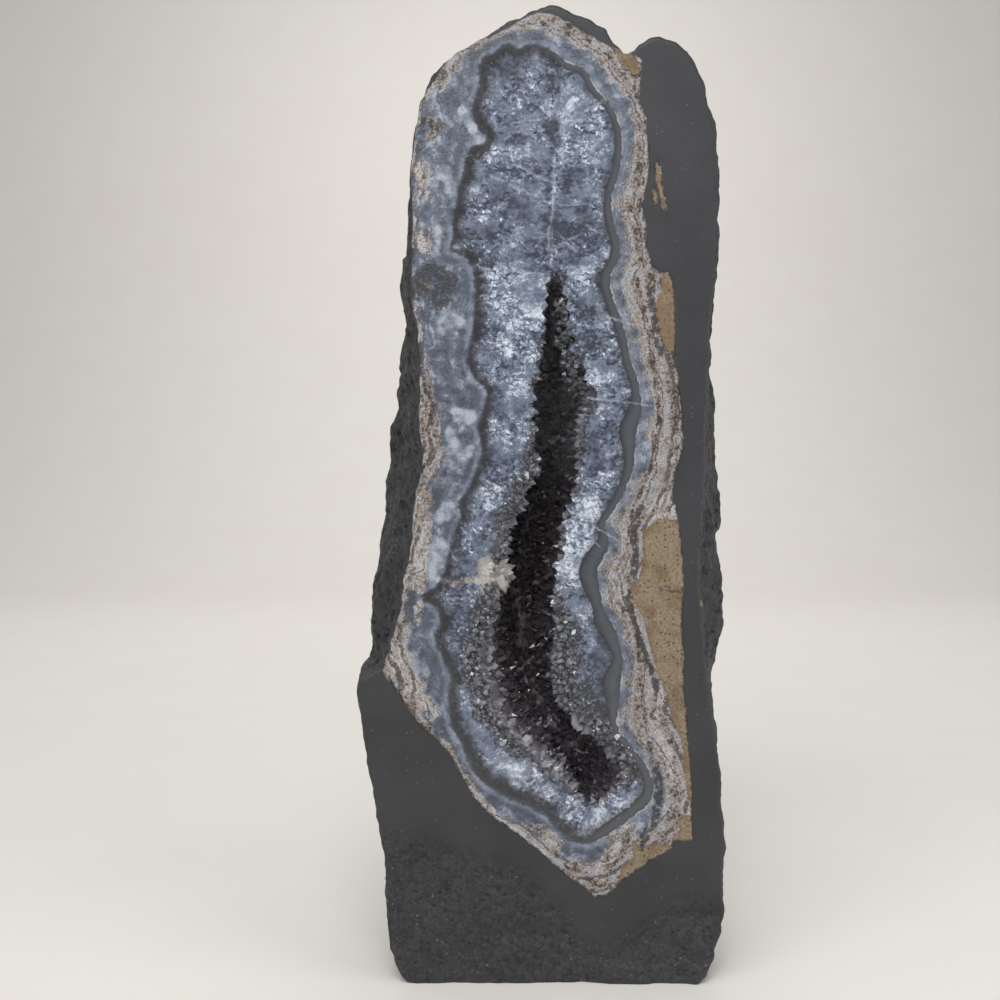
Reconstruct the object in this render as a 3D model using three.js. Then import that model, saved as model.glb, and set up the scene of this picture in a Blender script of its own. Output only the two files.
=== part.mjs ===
// A geode half that stands upright on its flat base. The front is sawn flat across basalt, agate and quartz.
// The rest is rough, with lumps, knobs and pits, and a narrow hollow lined with crystals opens in the sawn face.
// Millimetres, +Z up. The sawn face looks along -Y. The origin ends up in the middle under the stone.
import * as THREE from "three";
import { mergeVertices } from "three/addons/utils/BufferGeometryUtils.js";

// Driving dimensions
const SHIFT = { x: 0.85, y: -5.5 }; // brings the middle of the stone over the origin
const FACE_Y = -44; // plane of the saw cut
const AROUND = 120; // facets round the stone, and points of the crust's net round the hollow, a multiple of 3
const SKIN_ROWS = 14; // facets from the edge of the cut to the middle of the back
const FACE_ROWS = 3; // facets from the edge of the cut to the hollow
const HOLLOW_ROWS = 5; // facets from the mouth of the hollow to its deepest line
const BASE_SHARE = 0.1; // share of each side's spokes that run along the base, not up the back
const SQUARENESS = 0.78; // power on the quarter ellipse from front to back: 1 is round, less is squarer
const SWELL = { at: 0.17, turn: 20 }; // where along it the rough sides stand out most. Over the top the swell
// turns from left to right within this distance of the ridge.
const LUMP = { long: 28, high: 3 }; // broad lumps of the rough outside
const KNOB = { long: 12, high: 2.6 }; // knobs and pits on them
const FADE = { cut: 1 / 9, base: 6 }; // they fade out towards the cut, a share of the way, and towards the base
const CROWN_Z = 200; // above this height they also stand out upwards
// The foot of the front, which the saw missed: how high it is at x from, how its upper line slopes and dips,
// how it fades in below that line, and how deep and uneven it lies behind the cut
const FOOT = { high: 46, slope: 0.22, from: -20, fade: 12, deep: 2, uneven: 0.7 };
const FOOT_DIP = { x: 16, wide: 16, deep: 20 };
const SEAM = 0.55; // clearance between the stone and the crust
const CRUST = 1.6; // thickness of the crust under its crystals
const CRUST_ROWS = 12; // rows of the crust's net from the mouth to the deepest line
const CRYSTAL = { least: 1.6, most: 4.8, lean: 1.7, slip: 0.3 }; // height, sideways lean, uneven spacing
const THINNER = { crust: 4, crystals: 2.5 }; // how fast both grow from the narrow top of the hollow downwards,
const THINNEST = { crust: 0.2, crystals: 0.12 }; // and their share of the full size at the very top
const FLARE_RATE = 1.4; // the hollow flares and comes back in before its keel

// Each spoke of the sawn face: its outer end (x, z), how far the rough side swells out behind it,
// its end at the hollow (x, z), and how far the hollow flares out behind it (less than 0 slopes in).
// The first is in the middle of the foot, the next ones go up the left side, over the top and down the right.
const SPOKES = [
  [[4, 0], 0, [12, 51], -1],
  [[-18, 0], 0, [8, 55], -2],
  [[-41, 0], 1, [4.5, 60], -3],
  [[-46.5, 9], 2, [0, 65], -4],
  [[-48, 24], 2, [-5, 69], -5],
  [[-49, 42], 2, [-10, 73], -6],
  [[-52.5, 62], 1, [-14, 79], -6],
  [[-55.5, 79], 1, [-16.5, 86], -6],
  [[-55.8, 91.5], 1, [-18, 93], -6],
  [[-49.2, 97], 6, [-18.5, 99.5], -5],
  [[-45.5, 107], 11, [-17.5, 107], -3],
  [[-42.5, 121], 13, [-15.5, 118], -1],
  [[-40.5, 134], 15, [-13.5, 129], 1],
  [[-38.5, 149], 16, [-10, 139], 2],
  [[-36.8, 159], 15, [-6, 148], 3],
  [[-38, 172], 13, [-3.5, 158], 3],
  [[-38, 190], 12, [-4.2, 169], 3],
  [[-39.9, 210], 8, [-4, 179], 2],
  [[-40, 232], 5, [-2, 188], 1],
  [[-39.9, 252], 3, [-1, 195], 0],
  [[-37.8, 264], 2, [-0.9, 200.5], 0],
  [[-32, 275.5], 2, [-0.5, 205], 0],
  [[-20, 285], 1, [0, 209], 0],
  [[-9, 291], 1, [0.9, 212.2], 0],
  [[2, 295], 1, [3, 214], 0],
  [[10, 292], 1, [5, 212.2], 0],
  [[18, 288], 1, [6, 209.3], 0],
  [[24.6, 281], 1, [6.6, 206.5], 0],
  [[30, 284.8], 1, [7, 203.7], 0],
  [[37, 285], 1, [7.4, 201], 0],
  [[43.5, 281], 1, [7.7, 198], 0],
  [[48, 272], 1, [8.5, 195], 0],
  [[51.5, 256], 2, [9.3, 191], 0],
  [[52.5, 236], 3, [10.5, 186.5], 0],
  [[52, 215], 4, [13.5, 181], 1],
  [[50, 195], 7, [13.6, 174], 1],
  [[49.3, 178], 9, [11, 168], 2],
  [[48.8, 162], 10, [11.8, 158], 2],
  [[48, 146], 11, [9.5, 149], 3],
  [[47, 131], 12, [6, 138], 4],
  [[47, 117], 11, [4.5, 124], 4],
  [[48, 104], 10, [3.5, 108], 4],
  [[49.5, 91], 7, [3.5, 92], 2],
  [[51.5, 77], 5, [9, 81], 0],
  [[53, 60], 4, [18, 73.5], -1],
  [[54, 36], 3, [27, 63], -3],
  [[53, 14], 2, [22.5, 56], -2],
  [[46, 0], 1, [17, 52], -1],
];

// The ridge of the back from bottom to top (x, y, z)
const BACK_RIDGE = [
  [2, 42, 0],
  [-1, 50, 70],
  [-3, 52, 130],
  [-3, 47, 190],
  [-1, 33, 246],
  [2, 8, 280],
  [4, -18, 293],
];

// The deepest line of the hollow from bottom to top (x, y), and how much shorter than the mouth it is
const HOLLOW_KEEL = [
  [13, -24],
  [3, -14],
  [-5, -3],
  [-3, 0],
  [2, -2],
  [4.5, -8],
  [5, -20],
];
const KEEL_SHORTER = 0.06;
const KEEL_SEAM = { back: 2, end: 0.02 }; // extra clearance of the crust there, for each millimetre of inset

const curveOf = (points, closed = false) =>
  new THREE.CatmullRomCurve3(points.map((p) => new THREE.Vector3(...p)), closed, "centripetal");
// The middle coordinate of these two curves is the swell or the flare
const edgeCurve = curveOf(SPOKES.map(([edge, swell]) => [edge[0], swell, edge[1]]), true);
const mouthCurve = curveOf(SPOKES.map(([, , mouth, flare]) => [mouth[0], flare, mouth[1]]), true);
const ridgeCurve = curveOf(BACK_RIDGE);
const keelCurve = curveOf(HOLLOW_KEEL.map(([x, y]) => [x, y, 0]));

// How far up a spoke is: 0 at the middle of the foot, 1 at the top, the same on both sides
const climb = (u) => 1 - Math.abs(1 - 2 * u);

// The quarter ellipse from front to back: how much of the way inwards and how much of the way back, at t
function quarter(t) {
  const angle = (t * Math.PI) / 2;
  return [1 - Math.max(0, Math.cos(angle)) ** SQUARENESS, Math.sin(angle) ** SQUARENESS];
}

// A repeatable number from 0 to 1 for each point of a lattice
function latticeValue(i, j, k) {
  const wave = Math.sin(i * 127.1 + j * 311.7 + k * 74.7) * 43758.5453;
  return wave - Math.floor(wave);
}

// Smooth noise from -1 to 1 whose features are about as long as long
function smoothNoise(point, long) {
  const [x, y, z] = [point.x / long, point.y / long, point.z / long];
  const [i, j, k] = [Math.floor(x), Math.floor(y), Math.floor(z)];
  const ease = (t) => t * t * (3 - 2 * t);
  const [a, b, c] = [ease(x - i), ease(y - j), ease(z - k)];
  let sum = 0;
  for (const [di, wi] of [[0, 1 - a], [1, a]])
    for (const [dj, wj] of [[0, 1 - b], [1, b]])
      for (const [dk, wk] of [[0, 1 - c], [1, c]])
        sum += wi * wj * wk * latticeValue(i + di, j + dj, k + dk);
  return 2 * sum - 1;
}

// The rough outside at spoke u: t is 0 at the saw cut and 1 at the ridge of the back
function skinPoint(u, t) {
  const edge = edgeCurve.getPoint(u);
  const ridge = ridgeCurve.getPoint(Math.max(0, (climb(u) - BASE_SHARE) / (1 - BASE_SHARE)));
  const [inward, back] = quarter(t);
  const side = THREE.MathUtils.clamp((edge.x - ridge.x) / SWELL.turn, -1, 1);
  const swell = side * edge.y * Math.sin((Math.PI / 2) * Math.min(1, t / SWELL.at)) * (1 - t);
  const point = new THREE.Vector3(
    edge.x + (ridge.x - edge.x) * inward + swell,
    FACE_Y + (ridge.y - FACE_Y) * back,
    edge.z + (ridge.z - edge.z) * inward,
  );
  return roughened(point, t, ridge);
}

// Lumps and knobs move a point of the outside out from or in towards the stone's middle. The base stays flat.
function roughened(point, t, ridge) {
  if (point.z < 0.01) return point.setZ(0);
  const fade = Math.min(1, t / FADE.cut) * Math.min(1, point.z / FADE.base);
  const high = LUMP.high * smoothNoise(point, LUMP.long) + KNOB.high * smoothNoise(point, KNOB.long);
  const out = new THREE.Vector3(point.x - ridge.x, point.y, Math.max(0, point.z - CROWN_Z)).normalize();
  return point.addScaledVector(out, high * fade);
}

// 0 on the sawn face, rising to 1 below the slanting line where the saw cut ends, which dips under the hollow
function footShare(x, z) {
  const dip = FOOT_DIP.deep * Math.exp(-(((x - FOOT_DIP.x) / FOOT_DIP.wide) ** 2));
  const line = FOOT.high - FOOT.slope * (x - FOOT.from) - dip;
  return THREE.MathUtils.smoothstep(line - z, 0, FOOT.fade);
}

// The front between the stone's edge at t 0 and the hollow at t 1: sawn flat, but rough at its foot
function facePoint(u, t) {
  const edge = edgeCurve.getPoint(u);
  const mouth = mouthCurve.getPoint(u);
  const point = new THREE.Vector3(edge.x + (mouth.x - edge.x) * t, FACE_Y, edge.z + (mouth.z - edge.z) * t);
  point.z = Math.max(0, point.z);
  const uneven = 1 + FOOT.uneven * smoothNoise(point, KNOB.long);
  point.y += FOOT.deep * footShare(point.x, point.z) * uneven;
  return point;
}

// The deepest line of the hollow at spoke u, moved out towards the cut by inset. It is level with the mouth.
function keelPoint(u, inset) {
  const level = (mouthCurve.getPoint(u).z + mouthCurve.getPoint((1 - u) % 1).z) / 2;
  const keel = keelCurve.getPoint(climb(u));
  const middle = (SPOKES[0][2][1] + SPOKES[SPOKES.length / 2][2][1]) / 2;
  const shorter = KEEL_SHORTER + KEEL_SEAM.end * inset;
  return keel.set(keel.x, keel.y - KEEL_SEAM.back * inset, level + (middle - level) * shorter);
}

// The wall of the hollow, moved inwards by inset: t is 0 at its mouth and 1 at its keel
function hollowPoint(u, t, inset = 0) {
  const mouth = mouthCurve.getPoint(u);
  const along = mouthCurve.getPoint((u + 1.001) % 1).sub(mouthCurve.getPoint((u + 0.999) % 1));
  const inwards = new THREE.Vector3(along.z, 0, -along.x).normalize();
  const flare = mouth.y * Math.sin(Math.PI * Math.min(1, FLARE_RATE * t));
  mouth.addScaledVector(inwards, inset - flare);
  const keel = keelPoint(u, inset);
  const [inward, back] = quarter(t);
  return new THREE.Vector3(
    mouth.x + (keel.x - mouth.x) * inward,
    FACE_Y + (keel.y - FACE_Y) * back,
    mouth.z + (keel.z - mouth.z) * inward,
  );
}

// The crust and its crystals are smaller towards the narrow top of the hollow
const sizeAt = (u, rate, least) => THREE.MathUtils.clamp((1 - climb(u)) * rate, least, 1);
const crustInset = (u) => SEAM + CRUST * sizeAt(u, THINNER.crust, THINNEST.crust);

// A row of points round the stone, or round the hollow
function ring(pointAt) {
  return Array.from({ length: AROUND }, (_, i) => pointAt(i / AROUND, i));
}

// A closed geometry from rings that follow each other. The first and the last ring fold flat onto a line.
function foldedGeometry(rings) {
  const index = [];
  for (let r = 0; r + 1 < rings.length; r++)
    for (let i = 0; i < AROUND; i++) {
      const a = r * AROUND + i;
      const b = r * AROUND + ((i + 1) % AROUND);
      index.push(a, b + AROUND, b, a, a + AROUND, b + AROUND);
    }
  const geometry = mergeVertices(new THREE.BufferGeometry().setFromPoints(rings.flat()).setIndex(index), 1e-3);
  return withoutSlivers(geometry);
}

// The fold leaves triangles whose corners are one point twice, and they go
function withoutSlivers(geometry) {
  const corners = geometry.index.array;
  const kept = [];
  for (let i = 0; i < corners.length; i += 3) {
    const [a, b, c] = corners.slice(i, i + 3);
    if (a !== b && b !== c && c !== a) kept.push(a, b, c);
  }
  geometry.setIndex(kept);
  geometry.computeVertexNormals();
  return geometry;
}

// Basalt, agate and solid quartz as one skin: the rough outside, the front and the wall of the hollow
function stoneGeometry() {
  const rings = [];
  for (let r = SKIN_ROWS; r >= 1; r--) rings.push(ring((u) => skinPoint(u, r / SKIN_ROWS)));
  for (let r = 0; r < FACE_ROWS; r++) rings.push(ring((u) => facePoint(u, r / FACE_ROWS)));
  for (let r = 0; r <= HOLLOW_ROWS; r++) rings.push(ring((u) => hollowPoint(u, r / HOLLOW_ROWS)));
  return foldedGeometry(rings);
}

// The direction straight off the wall of the hollow at u, t
function offWall(u, t) {
  const at = (du, dt) => hollowPoint((u + du + 1) % 1, THREE.MathUtils.clamp(t + dt, 0, 1), SEAM);
  const across = at(0.004, 0).sub(at(-0.004, 0));
  const inwards = at(0, 0.03).sub(at(0, -0.03));
  return inwards.cross(across).normalize();
}

// Point i of row r of the crust's net. Each row is half a step on from the last, so every third point has
// six neighbours round it, and is drawn out into the tip of a crystal with six flat faces. In the first row
// the saw has cut the crystals through, so that row stays in the plane of the cut.
function crustPoint(i, r) {
  const chance = (k) => latticeValue(i, r + 0.5, k) - 0.5;
  const loose = r > 0 && r < CRUST_ROWS ? CRYSTAL.slip : 0;
  const u = ((i - r / 2 + 2 * loose * chance(1)) / AROUND + 1) % 1;
  const t = (r + 2 * loose * chance(2)) / CRUST_ROWS;
  const point = hollowPoint(u, t, crustInset(u));
  if (((i + r) % 3 !== 0) || r > CRUST_ROWS - 2) return point;
  const room = sizeAt(u, THINNER.crystals, THINNEST.crystals);
  const height = THREE.MathUtils.lerp(CRYSTAL.least, CRYSTAL.most, chance(3) + 0.5) * room;
  const lean = new THREE.Vector3(chance(4), chance(5), chance(6)).multiplyScalar(2 * CRYSTAL.lean * room);
  point.addScaledVector(offWall(u, t), height).add(lean);
  return point.setY(r === 0 ? FACE_Y : Math.max(FACE_Y, point.y));
}

// The crust: its hidden side along the wall, its rim cut flush by the saw, and the net of crystals
function crustGeometry() {
  const rings = [];
  for (let r = HOLLOW_ROWS; r >= 0; r--) rings.push(ring((u) => hollowPoint(u, r / HOLLOW_ROWS, SEAM)));
  for (let r = 0; r <= CRUST_ROWS; r++) rings.push(ring((u, i) => crustPoint(i, r)));
  return foldedGeometry(rings);
}

function pieceOf(name, geometry, colour, roughness) {
  const material = new THREE.MeshStandardMaterial({ color: colour, roughness, metalness: 0 });
  const piece = new THREE.Mesh(geometry, material);
  piece.name = name;
  return piece;
}

const geode = new THREE.Group();
geode.position.set(SHIFT.x, SHIFT.y, 0);
geode.add(pieceOf("stone", stoneGeometry(), 0x3e4043, 0.75));
geode.add(pieceOf("crystal_crust", crustGeometry(), 0x66676a, 0.2));

export default geode;
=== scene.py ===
import bmesh
import bpy
import numpy as np
from bpy.props import FloatProperty, FloatVectorProperty, IntProperty, PointerProperty
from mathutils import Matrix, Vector


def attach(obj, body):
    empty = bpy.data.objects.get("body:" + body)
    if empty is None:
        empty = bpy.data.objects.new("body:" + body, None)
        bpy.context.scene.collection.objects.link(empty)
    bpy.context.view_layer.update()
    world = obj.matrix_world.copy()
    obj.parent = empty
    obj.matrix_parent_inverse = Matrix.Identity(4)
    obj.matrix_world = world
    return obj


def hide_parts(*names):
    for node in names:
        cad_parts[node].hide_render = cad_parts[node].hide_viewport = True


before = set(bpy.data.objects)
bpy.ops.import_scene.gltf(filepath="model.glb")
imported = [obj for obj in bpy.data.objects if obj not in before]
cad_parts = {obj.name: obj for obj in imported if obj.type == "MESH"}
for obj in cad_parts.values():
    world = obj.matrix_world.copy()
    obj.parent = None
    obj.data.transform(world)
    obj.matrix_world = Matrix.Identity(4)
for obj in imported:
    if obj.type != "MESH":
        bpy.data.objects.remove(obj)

bl_info = {
    "name": "Geode half",
    "version": (1, 0, 0),
    "blender": (4, 5, 0),
    "location": "View3D > Sidebar > Geode",
    "description": "Dresses the solids of a geode half with paint, basalt, agate, quartz and crystals",
    "category": "Object",
}

MM = 0.001
SHIFT = np.array([0.85, -5.5, 0.0])  # from the solids' own coordinates to the middle of the base
FACE_Y = -44.0  # plane of the saw cut
BASE_SHARE = 0.1
SQUARENESS = 0.78
SWELL_AT, SWELL_TURN = 0.17, 20.0
LUMP_LONG, LUMP_HIGH = 28.0, 3.0
KNOB_LONG, KNOB_HIGH = 12.0, 2.6
FADE_CUT, FADE_BASE = 1 / 9, 6.0
CROWN_Z = 200.0
FOOT_HIGH, FOOT_SLOPE, FOOT_FROM, FOOT_FADE, FOOT_DEEP, FOOT_UNEVEN = 46.0, 0.22, -20.0, 12.0, 2.0, 0.7
DIP_X, DIP_WIDE, DIP_DEEP = 16.0, 16.0, 20.0
FLARE_RATE = 1.4
KEEL_SHORTER, KEEL_BACK, KEEL_END = 0.06, 2.0, 0.02
USUAL_SEAM = 0.25
USUAL_HALF_WIDTH, USUAL_DEPTH = 45, 95
TINY, NO_GAP = 1e-9, 1e-4
WAVES, WAVE_GAIN = (127.1, 311.7, 74.7), 43758.5453
QUARTZ_IOR = 1.544
SHADE_PLACES = (0.0, 0.6, 0.975, 0.98)  # the chances from which a crystal takes the next of its shades
ALL_PAINT = -2.4  # the front is nothing but paint where it is at least this far outside the bare part

# Each spoke of the sawn face: outer end (x, z), swell of the rough side, end at the hollow (x, z), flare.
# The first is in the middle of the foot, the next go up the left side, over the top and down the right.
SPOKES = np.array([
    [4, 0, 0, 12, 51, -1], [-18, 0, 0, 8, 55, -2], [-41, 0, 1, 4.5, 60, -3], [-46.5, 9, 2, 0, 65, -4],
    [-48, 24, 2, -5, 69, -5], [-49, 42, 2, -10, 73, -6], [-52.5, 62, 1, -14, 79, -6],
    [-55.5, 79, 1, -16.5, 86, -6], [-55.8, 91.5, 1, -18, 93, -6], [-49.2, 97, 6, -18.5, 99.5, -5],
    [-45.5, 107, 11, -17.5, 107, -3], [-42.5, 121, 13, -15.5, 118, -1], [-40.5, 134, 15, -13.5, 129, 1],
    [-38.5, 149, 16, -10, 139, 2], [-36.8, 159, 15, -6, 148, 3], [-38, 172, 13, -3.5, 158, 3],
    [-38, 190, 12, -4.2, 169, 3], [-39.9, 210, 8, -4, 179, 2], [-40, 232, 5, -2, 188, 1],
    [-39.9, 252, 3, -1, 195, 0], [-37.8, 264, 2, -0.9, 200.5, 0], [-32, 275.5, 2, -0.5, 205, 0],
    [-20, 285, 1, 0, 209, 0], [-9, 291, 1, 0.9, 212.2, 0], [2, 295, 1, 3, 214, 0],
    [10, 292, 1, 5, 212.2, 0], [18, 288, 1, 6, 209.3, 0], [24.6, 281, 1, 6.6, 206.5, 0],
    [30, 284.8, 1, 7, 203.7, 0], [37, 285, 1, 7.4, 201, 0], [43.5, 281, 1, 7.7, 198, 0],
    [48, 272, 1, 8.5, 195, 0], [51.5, 256, 2, 9.3, 191, 0], [52.5, 236, 3, 10.5, 186.5, 0],
    [52, 215, 4, 13.5, 181, 1], [50, 195, 7, 13.6, 174, 1], [49.3, 178, 9, 11, 168, 2],
    [48.8, 162, 10, 11.8, 158, 2], [48, 146, 11, 9.5, 149, 3], [47, 131, 12, 6, 138, 4],
    [47, 117, 11, 4.5, 124, 4], [48, 104, 10, 3.5, 108, 4], [49.5, 91, 7, 3.5, 92, 2],
    [51.5, 77, 5, 9, 81, 0], [53, 60, 4, 18, 73.5, -1], [54, 36, 3, 27, 63, -3],
    [53, 14, 2, 22.5, 56, -2], [46, 0, 1, 17, 52, -1],
])
BACK_RIDGE = np.array([
    [2, 42, 0], [-1, 50, 70], [-3, 52, 130], [-3, 47, 190], [-1, 33, 246], [2, 8, 280], [4, -18, 293],
])
HOLLOW_KEEL = np.array([[13, -24], [3, -14], [-5, -3], [-3, 0], [2, -2], [4.5, -8], [5, -20]])

# The dark band between agate and quartz, as its middle line (x, z) from its lowest point up the left side
BAND = np.array([
    [12.6, 44.7], [8.1, 45.9], [4.2, 48.9], [0.3, 53.4], [-6.5, 56.8], [-13.5, 60], [-18, 63.3],
    [-21.9, 68.4], [-24, 73.8], [-27, 78.9], [-28.2, 86.7], [-27.6, 93.6], [-29.7, 99], [-32.4, 105.9],
    [-30.9, 108.3], [-31.8, 114.3], [-36.3, 117.3], [-31.8, 120.3], [-27.9, 131.1], [-26.1, 138],
    [-24.6, 141.9], [-25.2, 144.9], [-22.5, 149.4], [-19.8, 155.7], [-18.3, 161.1], [-19.5, 168],
    [-17.7, 174], [-17.1, 179.4], [-20.4, 183.3], [-22.8, 188.1], [-21.6, 194.4], [-20.4, 207.6],
    [-21, 215.4], [-23.7, 219.9], [-27.9, 222], [-27, 224.4], [-27, 231.9], [-25.8, 234.9],
    [-25.2, 240.3], [-23.7, 243.9], [-23.1, 248.4], [-21.3, 251.7], [-18, 252.6], [-16.5, 255],
    [-19.2, 258.9], [-20.7, 264], [-18.6, 270.9], [-18, 277.5], [-14.4, 279.9], [-11.1, 282.3],
    [-9, 280.8], [-3, 282], [1.8, 280.2], [6.6, 276.6], [11.1, 275.1], [14.1, 269.7], [18.9, 264.3],
    [21.6, 258], [21.9, 250.5], [20.7, 243.6], [18.9, 237.6], [19.2, 230.7], [21, 223.8], [21, 219.9],
    [18, 213], [18.9, 207.6], [21, 201.6], [23.1, 195.3], [24.6, 187.8], [26.4, 183], [27.3, 177.9],
    [26.7, 172.5], [24.9, 167.7], [25.2, 161.7], [25.2, 156.3], [22.5, 148.8], [19.5, 143.4],
    [16.8, 138.9], [17.7, 135], [12.9, 124.8], [15, 117.3], [17.1, 110.4], [20.4, 103.5], [21.9, 99],
    [20.1, 92.7], [20.4, 85.2], [21, 77.4], [24, 72.9], [26.4, 69.9], [29.4, 66], [30.9, 58.5],
    [22.5, 50.4],
])
# Half the width of that band, and how wide the clear blue agate outside it is, by height on either side
BAND_LEFT = np.array([
    [44, 1.4, 5.0], [60, 1.5, 6.0], [75, 1.1, 6.0], [95, 0.9, 7.0], [110, 0.7, 7.0], [133, 0.7, 4.0],
    [150, 0.7, 9.0], [175, 0.7, 12.0], [205, 0.6, 20.0], [250, 0.9, 22.0], [262, 1.2, 18.0],
    [270, 1.4, 9.0], [276, 1.4, 5.0], [284, 1.1, 4.0],
])
BAND_RIGHT = np.array([
    [44, 1.6, 5.0], [55, 1.9, 4.0], [66, 1.4, 2.0], [80, 1.2, 1.2], [86, 2.0, 1.2], [91, 3.0, 1.2],
    [96, 2.2, 1.0], [100, 1.5, 1.0], [104, 1.9, 1.0], [109, 2.7, 1.0], [114, 1.6, 1.0], [119, 2.3, 0.8],
    [125, 2.9, 0.8], [131, 2.6, 1.0], [137, 1.2, 1.2], [150, 1.3, 2.0], [160, 1.8, 3.0], [167, 2.8, 2.4],
    [174, 2.2, 2.2], [179, 1.4, 2.2], [200, 1.4, 2.6], [213, 1.6, 2.2], [235, 1.3, 1.8], [250, 1.2, 2.6],
    [265, 1.1, 4.6], [284, 1.1, 4.0],
])
# The part of the front that is bare of paint, clockwise from its upper left
BARE = np.array([
    [-40.5, 253], [-38.5, 263], [-36.5, 268], [-32.5, 274], [-28, 280.5], [-22, 284], [-14, 286.5],
    [-9.5, 289], [-5.5, 291.5], [-2, 293], [2.5, 292], [7, 290], [12, 287], [16.5, 284], [20.5, 282],
    [25, 281.5], [29, 278.5], [29, 273], [28, 267.5], [30.5, 260.5], [31, 253.5], [31.5, 246.5],
    [30.5, 241], [29, 235], [30.5, 229], [30.5, 223], [32, 217], [34.5, 214.5], [37, 215],
    [38.5, 211.5], [39, 202], [39, 191], [40, 181.5], [41, 174], [41.5, 163], [40, 157], [38.5, 154],
    [38.5, 146.5], [40, 140.5], [41, 131], [41.5, 121], [41, 110], [41.5, 100.5], [41.5, 91],
    [42.5, 80.5], [43, 71.5], [44, 62.5], [44, 52], [44.5, 44.5], [38.5, 44], [38, 42], [30.5, 37.5],
    [21.5, 31], [19, 28], [14.5, 27.5], [12, 30.5], [7, 33.5], [2.5, 37.5], [-2, 41.5], [-8, 46],
    [-13.5, 50], [-18, 53.5], [-22, 58], [-25, 63.5], [-28, 69.5], [-32, 74], [-36.5, 77.5],
    [-41, 83.5], [-44.5, 89.5], [-49, 94.5], [-46.5, 104.5], [-44, 113.5], [-43, 119.5], [-42.5, 127],
    [-42, 133.5], [-41, 142.5], [-40.5, 149], [-39.5, 155], [-38.5, 160], [-39, 167.5], [-39.5, 175.5],
    [-39.5, 181.5], [-39.5, 188.5], [-40.5, 196], [-41.5, 206], [-41.5, 223], [-41, 235], [-41, 246.5],
])
# Where the basalt shows bare, without paint or agate
BASALT = [np.array(outline) for outline in (
    [[34, 141], [29.5, 137], [29.5, 128], [28, 122], [25.5, 120.5], [26.5, 116.5], [29, 112],
     [30.5, 106.5], [32, 100.5], [33.5, 95], [35.5, 90.5], [37, 86.5], [37.5, 82], [40, 77.5],
     [41.5, 71.5], [41.5, 65.5], [43, 56.5], [44, 53], [46.5, 53], [46.5, 146.5], [40, 140.5]],
    [[35, 214.5], [37, 215.5], [39.5, 212.5], [39.5, 191], [37, 191], [34.5, 197], [33, 203],
     [34, 207.5], [35.5, 209]],
    [[26, 45], [28.5, 42], [33, 43.5], [38.5, 42.5], [38.5, 39.5], [28.5, 33.5], [21.5, 30.5],
     [23, 36.5], [26.5, 39]],
    [[39.5, 51], [43, 52], [46.5, 51.5], [46.5, 44], [38, 44], [38.5, 46], [41, 47]],
    [[21.5, 282.5], [24, 281], [27.5, 278.5], [28.5, 274], [26.5, 274], [24.5, 276.5], [22, 278.5]],
)]
# Chips in the paint, as short lines with a reach
CHIPS = [
    ([(33.6, 247), (34.4, 241), (35.8, 234)], 0.8),
    ([(32.4, 239), (33.4, 236)], 0.9),
    ([(47.4, 115.6), (47.8, 115)], 0.9),
]
# The line that the crystals grew towards: from the middle of the solid upper part down through the hollow
HEART = np.array([
    [2.5, 259], [2.5, 236.5], [2.5, 211.5], [3.5, 197.5], [5, 182.5], [4.5, 164.5], [2, 146.5],
    [-4, 133], [-5.5, 116.5], [-7, 98.5], [-5.5, 83.5], [1.5, 70], [14, 58],
])
TURN = 14.0  # how far round the ends of that line the growth is measured, for each radian

# Marks on the agate, each a line or a spot with its reach and its strength
WHITE_MARKS = [
    ([(-24.9, 262.8), (-19.5, 254.7)], 1.6, 1.0),
    ([(-38.1, 246.6), (-34.5, 243), (-36.3, 238.8)], 3.0, 0.9),
    ([(-30, 245.4), (-27.9, 240)], 2.0, 0.6),
    ([(-39.3, 229.8), (-38.1, 223.8), (-33.9, 221.4), (-33.3, 226.2)], 2.4, 1.0),
    ([(-30.6, 198.6), (-26.7, 200.1)], 2.6, 0.9),
    ([(-26.1, 171.9), (-22.5, 171.3)], 2.2, 1.0),
    ([(-28.5, 166.8), (-27, 162.6), (-24.9, 159.9), (-22.2, 161.4)], 1.7, 0.9),
    ([(-25.5, 154.8), (-24.9, 154.5)], 0.9, 1.0),
    ([(-31.5, 141.6), (-28.8, 143.4)], 2.6, 1.0),
    ([(-39.9, 142.8), (-37.5, 132), (-39.3, 121.8)], 4.6, 0.8),
    ([(-32.1, 132.9), (-35.1, 124.8)], 2.8, 0.9),
    ([(-37.5, 114.3), (-38.4, 110.1)], 1.7, 0.9),
    ([(-46.8, 102), (-43.5, 96), (-39, 89.4), (-33.9, 82.8)], 3.2, 0.9),
    ([(-42.3, 102), (-37.5, 94.8)], 2.6, 0.7),
    ([(-24, 63), (-19.2, 56.4), (-12.6, 49.8), (-6.6, 45.3), (0, 39.3)], 1.2, 1.0),
    ([(0.3, 47.4), (3.3, 42.6)], 2.8, 0.9),
    ([(36, 146.4), (33, 142.8), (38.4, 143.7)], 2.4, 1.0),
    ([(33.6, 89.4), (34.8, 86.4)], 2.0, 1.0),
    ([(34.2, 80.4), (35.7, 74.4)], 2.4, 1.0),
    ([(36.6, 70.8), (39.3, 63.9), (41.7, 56.4), (43.2, 45.9)], 1.5, 0.9),
    ([(16.5, 30.6), (17.7, 37.8), (20.1, 42)], 2.2, 1.0),
    ([(21.3, 45), (26.1, 48)], 2.2, 0.9),
    ([(-39.6, 210.9), (-38.1, 194.4), (-37.8, 176.4), (-37.5, 161.4), (-39, 150.9)], 0.9, 1.0),
    ([(-31.5, 122.1), (-29.7, 121.8)], 1.2, 0.9),
]
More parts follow.
